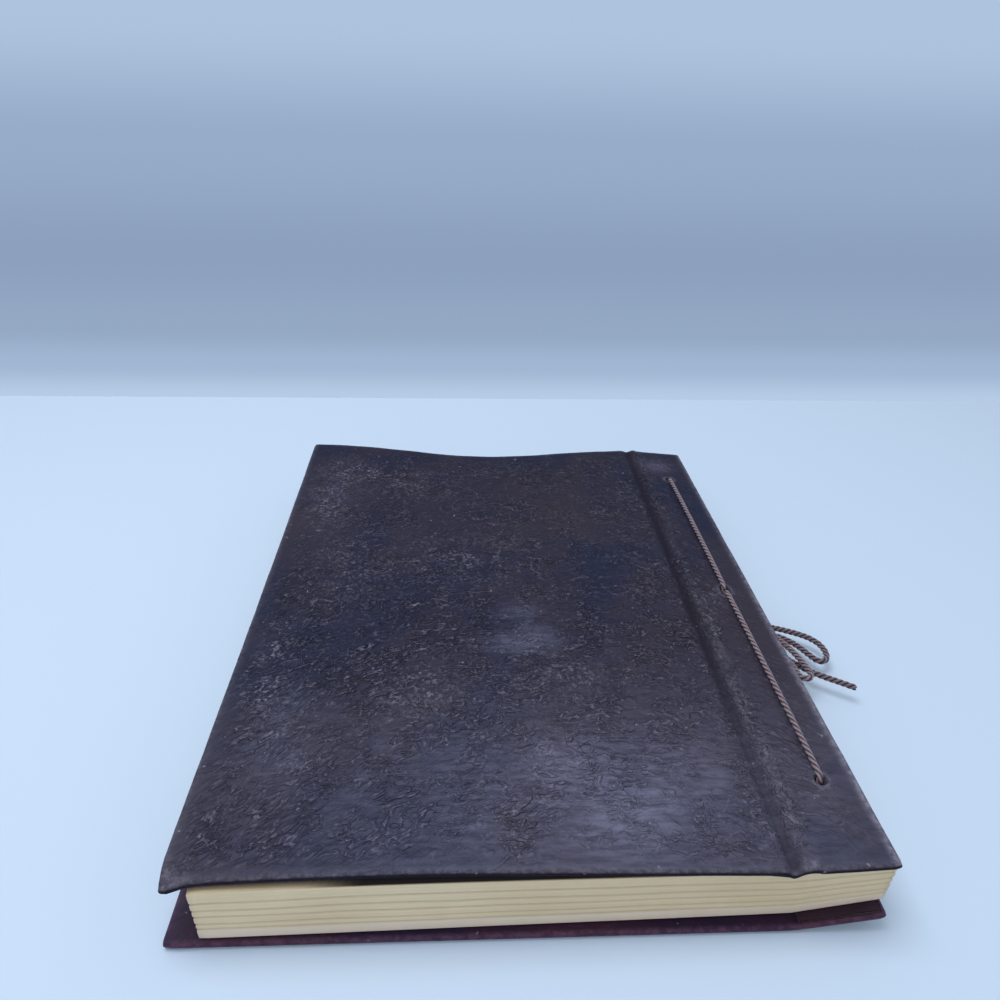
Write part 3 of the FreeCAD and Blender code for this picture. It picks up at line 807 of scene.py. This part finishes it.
def back_leather(look):
    """Leather of the back cover: the inner face with its lining windows, rounded edges and the outer face."""
    margin = EDGE_ROUND
    windows = lining_windows("back")
    lines_x = window_lines(windows, 0, BACK_FORE_X + margin, SPINE_X - margin, BACK_GRID[0])
    lines_y = window_lines(windows, 1, BACK_NEAR_Y + margin, BACK_FAR_Y - margin, BACK_GRID[1])
    x, y = np.meshgrid(lines_x, lines_y, indexing="ij")
    border = edge_distance(x, y, BACK_FORE_X, BACK_NEAR_Y, BACK_FAR_Y)
    inner_wave = BACK_WAVE * lattice_noise(x / 11, y / 8, 91) * soft_step(1.5, 6.0, border)
    inner = back_height(x) + COVER + inner_wave - WINDOW_DEPTH * window_mask(x, y, windows)
    groove = BACK_GROOVE * bell(x - BACK_CREASE_X, 2.6)
    relief = 0.2 + 0.8 * soft_step(2.0, 12.0, border) * (1.0 - 0.8 * bell(x - BACK_CREASE_X, 3.0))
    outer = back_height(x) + groove - BACK_CREASE_SHARE * look.crease_depth * relief * creases(x, y, 31)
    outer = np.maximum(outer, BACK_LOWEST)
    rings = edge_rings(x, y, back_height(x) + COVER, COVER)
    points = np.concatenate([flat_points(x, y, inner), rings, flat_points(x, y, outer)])
    values = hide_values(points, 0.12, 0.25)
    top, under = slice(0, x.size), slice(x.size + len(rings), None)
    values["relief"][under] = relief.ravel()
    values["edge"][top] = (0.15 * soft_step(2.5, 0.5, border)).ravel()
    values["edge"][under] = (0.6 * soft_step(5.0, 0.5, border)).ravel()
    values["flecks"][under] = 0.3
    # Painted shade along the inner crease of the back cover
    values["valley"][top] = bell(x - BACK_CREASE_X, 1.2).ravel()
    piece = new_piece("back_leather", points, slab_faces(x.shape, EDGE_RINGS, x.shape),
                      hide_material("Back hide", look, maroon_tint), None, values)
    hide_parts("back_panel_leather", "back_strip_leather")
    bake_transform(piece, "back_cover", "binding",
             start=((BACK_CREASE_X - CREASE_REACH) * MM, 0.0, 0.0),
             end=((BACK_CREASE_X + CREASE_REACH) * MM, 0.0, 0.0))


# Page block

LEAVES = 66
BLOCK_GRID = (90, 112)
WANDER, FINE_WANDER, TOP_LEVEL = 0.045, 0.008, 0.9999
SECTION_SHIFT, LEAF_SHIFT, SECTION_BULGE = 0.14, 0.10, 0.08
BORDER_SCALE, FAR_FROM_BORDER, GROOVE_WIDTH, GROOVE_SHARE = 25.0, 9.0, 0.5, 0.6


def block_top(x, y):
    """Under the front cover, with a warp of its own that is much flatter at the near edge."""
    return front_height(x, y, BLOCK_WARP) - COVER - BLOCK_CLEARANCE


def block_bottom(x):
    """On the back cover, rising with its strip."""
    return COVER + BLOCK_CLEARANCE + back_height(x)


def turned_block(a, b):
    """Turns block coordinates about the middle of the book."""
    c, s = math.cos(BLOCK_SKEW), math.sin(BLOCK_SKEW)
    return a * c - b * s, a * s + b * c


def page_block(look):
    """The block as a stack of leaves in six sections: each section's edge bulges by 1 - w^4 and sinks
    at its two borders, which wander up and down, and every leaf lies a little in or out."""
    half_length = (BACK_FAR_Y - BACK_NEAR_Y) / 2 - BLOCK_END_MARGIN
    inset = look.groove_depth
    fore, spine = BACK_FORE_X + BLOCK_FORE_MARGIN + inset, SPINE_X - BLOCK_SPINE_MARGIN - inset
    near, far = BLOCK_SHIFT - half_length + inset, BLOCK_SHIFT + half_length - inset
    a, b = np.meshgrid(np.linspace(fore, spine, BLOCK_GRID[0]), np.linspace(near, far, BLOCK_GRID[1]),
                       indexing="ij")
    x, y = turned_block(a, b)
    sides = outward_directions(*a.shape)
    ring_a, ring_b = border_values(a), border_values(b)
    rows = 2 * LEAVES
    level = np.linspace(1.0, 0.0, rows + 2)[1:-1][:, None]
    edges = np.concatenate([[0.0], np.cumsum(SECTION_SHARES)])
    around = np.arange(ring_a.size)[None, :]
    wander = WANDER * lattice_noise(around / 17.0, level * 3.0, 43)
    wander = wander + FINE_WANDER * lattice_noise(around / 5.0, level * 5.0, 44)
    wavy = np.clip(level + wander * (1.0 - (2.0 * level - 1.0) ** 4), 0.0, TOP_LEVEL)
    section = np.clip(np.searchsorted(edges, wavy, side="right") - 1, 0, len(SECTION_SHARES) - 1)
    low, high = edges[section], edges[section + 1]
    within = (wavy - low) / (high - low) * 2.0 - 1.0
    nearest = np.minimum(wavy - low, high - wavy) * BORDER_SCALE
    nearest = np.where((wavy < edges[1]) & (wavy - low < high - wavy), FAR_FROM_BORDER, nearest)
    nearest = np.where((wavy > edges[-2]) & (high - wavy < wavy - low), FAR_FROM_BORDER, nearest)
    leaf = np.arange(rows)[:, None] // 2
    shift = SECTION_SHIFT * lattice_noise(section * 3.7 + 0.5, around / 23.0, 41)
    shift = shift + LEAF_SHIFT * lattice_noise(leaf * 0.83, around / 31.0 + leaf * 5.1, 42)
    groove = bell(nearest, GROOVE_WIDTH)
    out = inset + shift - SECTION_BULGE * within ** 4 - GROOVE_SHARE * look.groove_depth * groove
    out = np.maximum(out, 0.0)
    ring_x, ring_y = turned_block(ring_a + out * sides[:, 0], ring_b + out * sides[:, 1])
    ring_z = mix(block_top(ring_x, ring_y), block_bottom(ring_x), 1.0 - level)
    points = np.concatenate([flat_points(x, y, block_top(x, y)), flat_points(ring_x, ring_y, ring_z),
                             flat_points(x, y, block_bottom(x))])
    values = {key: np.zeros(len(points)) for key in ("leaf", "groove", "lowest", "face")}
    for key, mask in (("leaf", level), ("groove", groove), ("lowest", soft_step(0.21, 0.17, level))):
        values[key][a.size:a.size + ring_x.size] = np.broadcast_to(mask, ring_x.shape).ravel()
    # Mask of painted shade on the top face, bare at the near border towards the fore edge
    painted_top_shade = np.ones_like(a)
    painted_top_shade[:, 0] -= soft_step(-55.0, -80.0, x[:, 0])
    values["face"][:a.size] = painted_top_shade.ravel()
    piece = new_piece("leaves", points, slab_faces(a.shape, rows, a.shape), paper_material(look),
                      "binding", values)
    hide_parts("page_block")


# Cord

BOW_SHARE, BOW_WEAR, SMALL_LOOP_WEAR = 0.47, 0.45, 0.85
# The lowest tail lies on the table, so it swells no further than this
TABLE_SWELL = 1.05


def route_points(route):
    """Points along a smooth spline with the route's places as its control points, in millimetres."""
    curve = bpy.data.curves.new("route", "CURVE")
    curve.dimensions = "3D"
    curve.resolution_u = 24
    spline = curve.splines.new("NURBS")
    spline.points.add(len(route) - 1)
    flat = np.ones((len(route), 4))
    flat[:, :3] = np.array(route) * MM
    spline.points.foreach_set("co", flat.ravel())
    spline.order_u = 3
    spline.use_endpoint_u = True
    guide = bpy.data.objects.new("route", curve)
    bpy.context.scene.collection.objects.link(guide)
    bpy.context.view_layer.update()
    mesh = bpy.data.meshes.new_from_object(guide)
    points = np.empty(len(mesh.vertices) * 3)
    mesh.vertices.foreach_get("co", points)
    bpy.data.objects.remove(guide)
    bpy.data.curves.remove(curve)
    bpy.data.meshes.remove(mesh)
    return points.reshape(-1, 3) / MM


def even_points(points, step):
    """The same path at equal steps of its length."""
    run = np.concatenate([[0.0], np.cumsum(np.linalg.norm(np.diff(points, axis=0), axis=1))])
    places = np.linspace(0.0, run[-1], max(2, int(round(run[-1] / step)) + 1))
    return np.stack([np.interp(places, run, points[:, k]) for k in range(3)], axis=-1), places


def carried_sides(points):
    """Unit headings along a path and two unit sides, carried on with as little turn as they can."""
    heading = np.gradient(points, axis=0)
    heading /= np.linalg.norm(heading, axis=1, keepdims=True)
    side = np.empty_like(points)
    start = np.cross(heading[0], (0.0, 0.0, 1.0))
    side[0] = start / np.linalg.norm(start)
    for k in range(1, len(points)):
        carried = side[k - 1] - heading[k] * side[k - 1].dot(heading[k])
        side[k] = carried / np.linalg.norm(carried)
    return heading, side, np.cross(heading, side)


def tube_mesh(points, radius, count):
    """Rings of count points round a path, closed by rounded ends: radius times sqrt(1 - t^2) there."""
    _, side, up = carried_sides(points)
    turn = np.linspace(0.0, 2.0 * np.pi, count, endpoint=False)
    taper = np.ones(len(points))
    taper[[0, -1]] = 0.05
    taper[[1, -2]] = 0.75
    spoke = np.cos(turn)[None, :, None] * side[:, None, :] + np.sin(turn)[None, :, None] * up[:, None, :]
    rings = points[:, None, :] + radius * taper[:, None, None] * spoke
    grid = np.arange(len(points) * count).reshape(len(points), count)
    corners = [grid[:-1], grid[1:], np.roll(grid[1:], -1, axis=1), np.roll(grid[:-1], -1, axis=1)]
    faces = np.stack(corners, axis=-1)[:, :, ::-1].reshape(-1, 4).tolist()
    faces += [grid[0].tolist(), grid[-1, ::-1].tolist()]
    return rings, faces, spoke


def joined(parts):
    """Points, faces and values of several parts as one."""
    starts = np.cumsum([0] + [len(points) for points, _, _ in parts]).tolist()
    faces = [[index + start for index in face] for start, part in zip(starts, parts) for face in part[1]]
    values = {key: np.concatenate([part[2][key] for part in parts]) for key in parts[0][2]}
    return np.concatenate([part[0] for part in parts]), faces, values


def rope_mesh(path, look, lay, swell=1.0, share=0.5, wear=1.0, step=0.55, sides=9):
    """Strands that wind round a path: each lies off it by the rope's radius less its own, at an angle
    of -2 pi times length over lay, for a left-hand twist. Share is a strand's radius over the rope's."""
    points, run = even_points(path, step)
    _, side, up = carried_sides(points)
    radius = look.cord_diameter / MM / 2 * swell
    strands = []
    for k in range(look.strands):
        turn = (-2.0 * np.pi * run / (lay / MM) + 2.0 * np.pi * k / look.strands)[:, None]
        away = np.cos(turn) * side + np.sin(turn) * up
        rings, faces, spoke = tube_mesh(points + (radius - radius * share) * away, radius * share, sides)
        values = {"along": run[:, None], "around": np.arange(sides)[None, :] / sides, "strand": float(k),
                  "outer": (spoke * away[:, None, :]).sum(axis=-1), "wear": wear}
        values = {key: np.broadcast_to(value, rings.shape[:2]).ravel() for key, value in values.items()}
        strands.append((rings.reshape(-1, 3), faces, values))
    return joined(strands)


def from_spine_edge(route):
    """A route of the bow, moved to the spine edge."""
    return [(SPINE_X + x, y, z) for x, y, z in route]


def on_strip(x, y, drop=0.0):
    """A place on the cord's centre line where it lies on the front strip, or drops into a hole."""
    return x, y, float(strip_height(x, y)) + CORD_DIAMETER / 2 + CORD_GAP - drop


def lacing_route():
    """Knot, middle hole, far hole, long back stitch, near hole, middle hole, knot."""
    middle = SPINE_X - HOLE_FROM_SPINE
    lean = math.tan(HOLE_SKEW)
    far_x, near_x = middle - lean * HOLE_SPACING, middle + lean * HOLE_SPACING
    table = CORD_DIAMETER / 2 + TABLE_GAP
    edge = SPINE_X - PULLED_STITCH
    turn = CORD_TURN
    return [
        (SPINE_X + 2.1, 1.6, 4.5), (SPINE_X - 2.9, 1.6, 4.1),
        (middle + turn, STRAND_OFFSET, table), (middle, STRAND_OFFSET, table + turn),
        on_strip(middle, STRAND_OFFSET, turn), on_strip(middle - lean * turn, STRAND_OFFSET + turn),
        on_strip(far_x + lean * turn, HOLE_SPACING - turn), on_strip(far_x, HOLE_SPACING, turn),
        (far_x, HOLE_SPACING, table + turn), (far_x + 0.3, HOLE_SPACING - turn, table),
        (edge - 1.5, 16.5, table + 0.01), (edge, 5.5, table + 0.03),
        (edge, -5.5, table + 0.01), (edge - 1.3, -16.5, table + 0.01),
        (near_x + 0.3, -HOLE_SPACING + turn, table), (near_x, -HOLE_SPACING, table + turn),
        on_strip(near_x, -HOLE_SPACING, turn), on_strip(near_x - lean * turn, -HOLE_SPACING + turn),
        on_strip(middle + lean * turn, -STRAND_OFFSET - turn), on_strip(middle, -STRAND_OFFSET, turn),
        (middle, -STRAND_OFFSET, table + turn), (middle + turn, -STRAND_OFFSET, table),
        (SPINE_X - 2.9, -1.6, 4.1), (SPINE_X + 2.1, -1.6, 4.5),
    ]


def knot_turns():
    """Two turns of the cord round the knot and one over them: closed ovals about its middle."""
    turn = np.linspace(0.0, 2.0 * np.pi, 49)
    c, s = np.cos(turn), np.sin(turn)
    first = np.stack([1.3 + 0.3 * s, 3.0 * c, 2.3 * s], axis=-1)
    second = np.stack([-1.5 + 0.4 * c, 3.1 * c, 2.2 * s], axis=-1)
    over = np.stack([3.1 * c, 0.8 * s * c, 2.5 * s], axis=-1)
    return [KNOT_CENTRE + ring for ring in (first, second, over)]


def cord_pieces(look):
    """The lacing, the knot, and the loops and tails of the bow."""
    material = cord_material(look)
    lacing = route_points(lacing_route())
    points, faces, values = rope_mesh(lacing, look, look.cord_lay, look.tight_swell, 0.52)
    piece = new_piece("lacing", points, faces, material, "binding", values)
    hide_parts("lacing_cord")
    points, faces, values = joined([rope_mesh(ring, look, look.bow_lay, 1.0, BOW_SHARE, BOW_WEAR)
                                    for ring in knot_turns()])
    knot = new_piece("knot", points, faces, material, "binding", values)
    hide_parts("bow_knot")
    for name, node, route, far_end in (
            ("big_loop", "bow_big_loop", BIG_LOOP, "object"),
            ("small_loop", "bow_small_loop", SMALL_LOOP, "object"),
            ("upper_tail", "bow_upper_tail", UPPER_TAIL, "bare"),
            ("lower_tail", "bow_lower_tail", LOWER_TAIL, "bare")):
        path = route_points(from_spine_edge(route))
        wear = SMALL_LOOP_WEAR if name == "small_loop" else BOW_WEAR
        swell = min(look.bow_swell, TABLE_SWELL) if name == "lower_tail" else look.bow_swell
        points, faces, values = rope_mesh(path, look, look.bow_lay, swell, BOW_SHARE, wear)
        piece = new_piece(name, points, faces, material, "binding", values)
        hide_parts(node)


# Stage

STAGE_REACH, WALL_Y = 4.0, 0.315
GLOW_START, GLOW_FULL, GLOW = 0.30, 0.60, 5.5
WALL_LEVELS = ((0.0, (0.47, 0.60, 0.79)), (0.03, (0.36, 0.47, 0.65)),
               (0.062, (0.296, 0.392, 0.552)), (0.12, (0.265, 0.355, 0.52)),
               (0.20, (0.31, 0.41, 0.58)), (0.28, (0.42, 0.545, 0.73)), (0.60, (0.45, 0.57, 0.74)))
ROOM_COLOUR, PALE_WALL = (0.95, 0.98, 1.0), (0.45, 0.57, 0.74)
OVERHEAD_PLACE, OVERHEAD_SIZE, OVERHEAD_COLOUR = (-0.29, 0.04, 1.25), 0.7, (1.0, 0.98, 1.0)
FILL_PLACE, FILL_SIZE, FILL_COLOUR, FILL_SHARE = (-0.2, -1.3, 0.8), 1.0, (0.97, 0.97, 1.0), 0.45


def stage_plane(name, corners, material):
    """A flat plane of the stage between four corners."""
    mesh = bpy.data.meshes.new(name)
    mesh.from_pydata(corners, [], [(0, 1, 2, 3)])
    mesh.materials.append(material)
    plane = bpy.data.objects.new(name, mesh)
    bpy.context.scene.collection.objects.link(plane)
    return plane


def table_material(stage):
    """Plain pale table."""
    material, graph = new_material("Table")
    graph.finish(Base_Color=stage.table, Roughness=0.8, Specular_IOR_Level=0.1)
    return material


def wall_material():
    """Pale wall, bright by itself and brighter above the picture, and clear from behind."""
    material, graph = new_material("Wall")
    height = graph.add("ShaderNodeSeparateXYZ", {0: graph.object_place()}).outputs["Z"]
    ramp = graph.add("ShaderNodeValToRGB", {0: graph.math("DIVIDE", height, WALL_LEVELS[-1][0])})
    ramp.color_ramp.interpolation = "EASE"
    stops = ramp.color_ramp.elements
    while len(stops) < len(WALL_LEVELS):
        stops.new(0.5)
    for stop, (level, colour) in zip(stops, WALL_LEVELS):
        stop.position = level / WALL_LEVELS[-1][0]
        stop.color = opaque(colour)
    strength = graph.remap(height, GLOW_START, GLOW_FULL, 1.0, GLOW)
    glow = graph.add("ShaderNodeEmission", {"Color": ramp.outputs["Color"], "Strength": strength}).outputs[0]
    clear = graph.add("ShaderNodeBsdfTransparent").outputs[0]
    behind = graph.add("ShaderNodeNewGeometry").outputs["Backfacing"]
    shader = graph.add("ShaderNodeMixShader", {0: behind, 1: glow, 2: clear}).outputs[0]
    graph.add("ShaderNodeOutputMaterial", {"Surface": shader})
    return material


def add_lamp(name, place, size, power, colour):
    """A soft square lamp that faces the middle of the book."""
    lamp = bpy.data.lights.new(name, "AREA")
    lamp.shape = "SQUARE"
    lamp.size = size
    lamp.energy = power
    lamp.color = colour
    holder = bpy.data.objects.new(name, lamp)
    bpy.context.scene.collection.objects.link(holder)
    holder.rotation_mode = "QUATERNION"
    holder.rotation_quaternion = Vector(place).to_track_quat("Z", "Y")
    holder.location = place


def photo_camera():
    """The camera from its place, heading to the right of +Y, tilt down and roll."""
    yaw, down, roll = (math.radians(a) for a in (CAMERA_YAW, CAMERA_DOWN, CAMERA_ROLL))
    ahead = np.array([math.sin(yaw) * math.cos(down), math.cos(yaw) * math.cos(down), -math.sin(down)])
    right = np.array([math.cos(yaw), -math.sin(yaw), 0.0])
    up = np.cross(right, ahead)
    rolled_right = right * math.cos(roll) + up * math.sin(roll)
    rolled_up = -right * math.sin(roll) + up * math.cos(roll)
    data = bpy.data.cameras.new("Camera")
    data.lens = CAMERA_LENS
    data.sensor_width = CAMERA_SENSOR
    data.clip_start, data.clip_end = 0.01, 50.0
    camera = bpy.data.objects.new("Camera", data)
    bpy.context.scene.collection.objects.link(camera)
    turn = Matrix([rolled_right, rolled_up, -ahead]).transposed()
    camera.matrix_world = Matrix.Translation(np.array(CAMERA_PLACE) * MM) @ turn.to_4x4()
    bpy.context.scene.camera = camera


def light_world(stage):
    """Even soft light from all round, which the camera and glossy surfaces see as the pale wall."""
    world = bpy.data.worlds.new("Room")
    bpy.context.scene.world = world
    world.use_nodes = True
    world.node_tree.nodes.clear()
    graph = Graph(world.node_tree)
    rays = graph.add("ShaderNodeLightPath")
    seen = graph.math("MAXIMUM", rays.outputs["Is Camera Ray"], rays.outputs["Is Glossy Ray"])
    seen = graph.math("MAXIMUM", seen, rays.outputs["Is Transmission Ray"])
    light = graph.add("ShaderNodeBackground", {"Color": ROOM_COLOUR, "Strength": stage.room_light})
    pale = graph.add("ShaderNodeBackground", {"Color": PALE_WALL, "Strength": 1.0})
    shader = graph.add("ShaderNodeMixShader", {0: seen, 1: light.outputs[0], 2: pale.outputs[0]})
    graph.add("ShaderNodeOutputWorld", {"Surface": shader.outputs[0]})


# Settings

def colour_property(name, description, default):
    """A colour that a user may change."""
    return FloatVectorProperty(name=name, description=description, default=default, size=3,
                               subtype="COLOR", min=0.0, max=1.0)


def number_property(name, description, default, low, high, **kind):
    """A number that a user may change, between two limits."""
    return FloatProperty(name=name, description=description, default=default, min=low, max=high, **kind)


def length_property(name, description, default, low, high):
    """A length in metres, which the panel shows in the scene's unit."""
    return number_property(name, description, default, low, high, subtype="DISTANCE", unit="LENGTH")


class AlbumLook(bpy.types.PropertyGroup):
    """Sizes and colours of the album that a user may change"""
    crease_depth: number_property(
        "Crease depth", "Depth of the leather's creases in millimetres", 0.62, 0.0, 1.5)
    hide_dark: colour_property("Dark hide", "Leather where it has kept its colour", (0.007, 0.008, 0.026))
    hide_brown: colour_property("Brown hide", "Leather where it has faded", (0.024, 0.016, 0.026))
    # Colour of painted shade: in the crack hollows, the hinge valley, the lower turns of the folded edges and
    # the back cover's inner crease
    hide_shade: colour_property("Crease shade", "Bottoms of cracks and of the hinge", (0.010, 0.006, 0.014))
    # Rubbed crest tops, with a painted highlight laid over them
    hide_rubbed_highlight: colour_property("Rubbed hide and highlight", "Tops of the creases", (0.16, 0.145, 0.20))
    hide_bloom: colour_property("Bloom", "Pale flecks on the leather", (0.34, 0.33, 0.42))
    # Colour of a painted bluish sheen, a reflection of the pale room laid into the leather
    hide_sheen: colour_property("Haze", "Bluish smears on the leather", (0.142, 0.144, 0.226))
    hide_worn: colour_property("Worn edge", "Rubbed rims of the covers", (0.24, 0.23, 0.30))
    hide_gloss: number_property("Gloss", "Strength of the leather's shine", 0.12, 0.0, 1.0)
    lining: colour_property("Lining", "Lining inside the covers", (0.020, 0.008, 0.017))
    paper: colour_property("Paper", "Edges of the leaves", (0.77, 0.645, 0.44))
    paper_aged: colour_property("Aged paper", "Browner patches of the leaves' edges", (0.69, 0.565, 0.36))
    # Colour of painted shade on the block's top face, for the shade in the narrow gap under the cover; there
    # is no dark sheet
    painted_top_shade: colour_property("Painted top shade", "Dark sheet on top of the block", (0.02, 0.014, 0.014))
    groove_depth: number_property(
        "Groove depth", "Depth of the grooves between sections in millimetres", 0.5, 0.1, 2.0)
    cord_diameter: length_property(
        "Cord diameter", "Diameter of the twisted cord", CORD_DIAMETER * MM, 0.001, 0.006)
    cord_lay: length_property("Lay", "Length of one full turn of a strand", 0.0094, 0.004, 0.04)
    bow_lay: length_property(
        "Lay of the bow", "Length of one full turn where the cord is slack", 0.0078, 0.004, 0.04)
    bow_swell: number_property(
        "Swell of the bow", "Thickness of the slack cord over that of the tight one", 1.18, 0.8, 1.3)
    tight_swell: number_property(
        "Swell of the lacing", "Thickness of the tight cord over its plain size", 0.9, 0.7, 1.1)
    strands: IntProperty(name="Strands", description="Strands in the cord", default=3, min=2, max=4)
    cord_dark: colour_property("Dark yarn", "Shaded yarn of the cord", (0.040, 0.018, 0.030))
    cord_mauve: colour_property("Mauve yarn", "Yarn of the cord", (0.14, 0.09, 0.12))
    cord_red: colour_property("Red yarn", "Spots where the yarn has kept its dye", (0.20, 0.022, 0.06))
    cord_pale: colour_property("Worn yarn", "Yarn where it is rubbed", (0.42, 0.33, 0.37))


class AlbumStage(bpy.types.PropertyGroup):
    """Table and light"""
    table: colour_property("Table", "Colour of the table", (0.55, 0.69, 0.875))
    room_light: number_property("Room light", "Light from all round", 0.555, 0.0, 3.0)
    lamp_power: number_property(
        "Lamp", "Power of the overhead lamp", 8.2, 0.0, 200.0, subtype="POWER", unit="POWER")


# Operators

class ALBUM_OT_stage(bpy.types.Operator):
    """Makes the camera, the table, the wall and the light"""
    bl_idname = "album.stage"
    bl_label = "Camera, Table and Light"

    def execute(self, context):
        stage = context.scene.album_stage
        photo_camera()
        far = STAGE_REACH
        floor = [(-far, -far, 0), (far, -far, 0), (far, far, 0), (-far, far, 0)]
        back = [(-far, WALL_Y, 0), (far, WALL_Y, 0), (far, WALL_Y, far), (-far, WALL_Y, far)]
        stage_plane("table", floor, table_material(stage))
        wall = stage_plane("wall", back, wall_material())
        wall.visible_diffuse = False
        wall.visible_shadow = False
        light_world(stage)
        add_lamp("Overhead", OVERHEAD_PLACE, OVERHEAD_SIZE, stage.lamp_power, OVERHEAD_COLOUR)
        add_lamp("Front fill", FILL_PLACE, FILL_SIZE, stage.lamp_power * FILL_SHARE, FILL_COLOUR)
        context.scene.view_settings.view_transform = "Standard"
        return {"FINISHED"}


class ALBUM_OT_cord(bpy.types.Operator):
    """Lays the twisted cord through its holes and ties the bow"""
    bl_idname = "album.cord"
    bl_label = "Cord and Bow"

    def execute(self, context):
        cord_pieces(context.scene.album_look)
        return {"FINISHED"}


class ALBUM_OT_covers(bpy.types.Operator):
    """Covers both boards in creased leather"""
    bl_idname = "album.covers"
    bl_label = "Leather Covers"

    def execute(self, context):
        look = context.scene.album_look
        front_leather(look)
        back_leather(look)
        return {"FINISHED"}


class ALBUM_OT_leaves(bpy.types.Operator):
    """Stacks the leaves of the page block"""
    bl_idname = "album.leaves"
    bl_label = "Page Block"

    def execute(self, context):
        page_block(context.scene.album_look)
        return {"FINISHED"}


class ALBUM_OT_boards(bpy.types.Operator):
    """Gives the boards and linings inside the covers their finish"""
    bl_idname = "album.boards"
    bl_label = "Boards and Linings"

    def execute(self, context):
        board, lining = board_material(), lining_material(context.scene.album_look)
        for name, node in frame["nodes"].items():
            for ending, material in (("_board", board), ("_panel_lining", lining)):
                if name.endswith(ending):
                    node.data.materials.clear()
                    node.data.materials.append(material)
        for side in ("front", "back"):
            strip_lining(side, lining)
        return {"FINISHED"}


OPERATORS = (ALBUM_OT_stage, ALBUM_OT_cord, ALBUM_OT_covers, ALBUM_OT_leaves, ALBUM_OT_boards)


class ALBUM_PT_panel(bpy.types.Panel):
    """Lists the album's pieces"""
    bl_idname = "ALBUM_PT_panel"
    bl_label = "Laced Album"
    bl_space_type = "VIEW_3D"
    bl_region_type = "UI"
    bl_category = "Album"

    def draw(self, context):
        for operator in OPERATORS:
            self.layout.operator(operator.bl_idname)
        for settings in (context.scene.album_look, context.scene.album_stage):
            for key in settings.bl_rna.properties.keys():
                if key not in ("rna_type", "name"):
                    self.layout.prop(settings, key)


CLASSES = (AlbumLook, AlbumStage) + OPERATORS + (ALBUM_PT_panel,)


def register():
    for item in CLASSES:
        bpy.utils.register_class(item)
    bpy.types.Scene.album_look = PointerProperty(type=AlbumLook)
    bpy.types.Scene.album_stage = PointerProperty(type=AlbumStage)


def unregister():
    del bpy.types.Scene.album_stage
    del bpy.types.Scene.album_look
    for item in reversed(CLASSES):
        bpy.utils.unregister_class(item)


def main():
    register()
    bpy.ops.album.stage()
    bpy.ops.album.cord()
    bpy.ops.album.covers()
    bpy.ops.album.leaves()
    bpy.ops.album.boards()


if __name__ == "__main__":
    main()
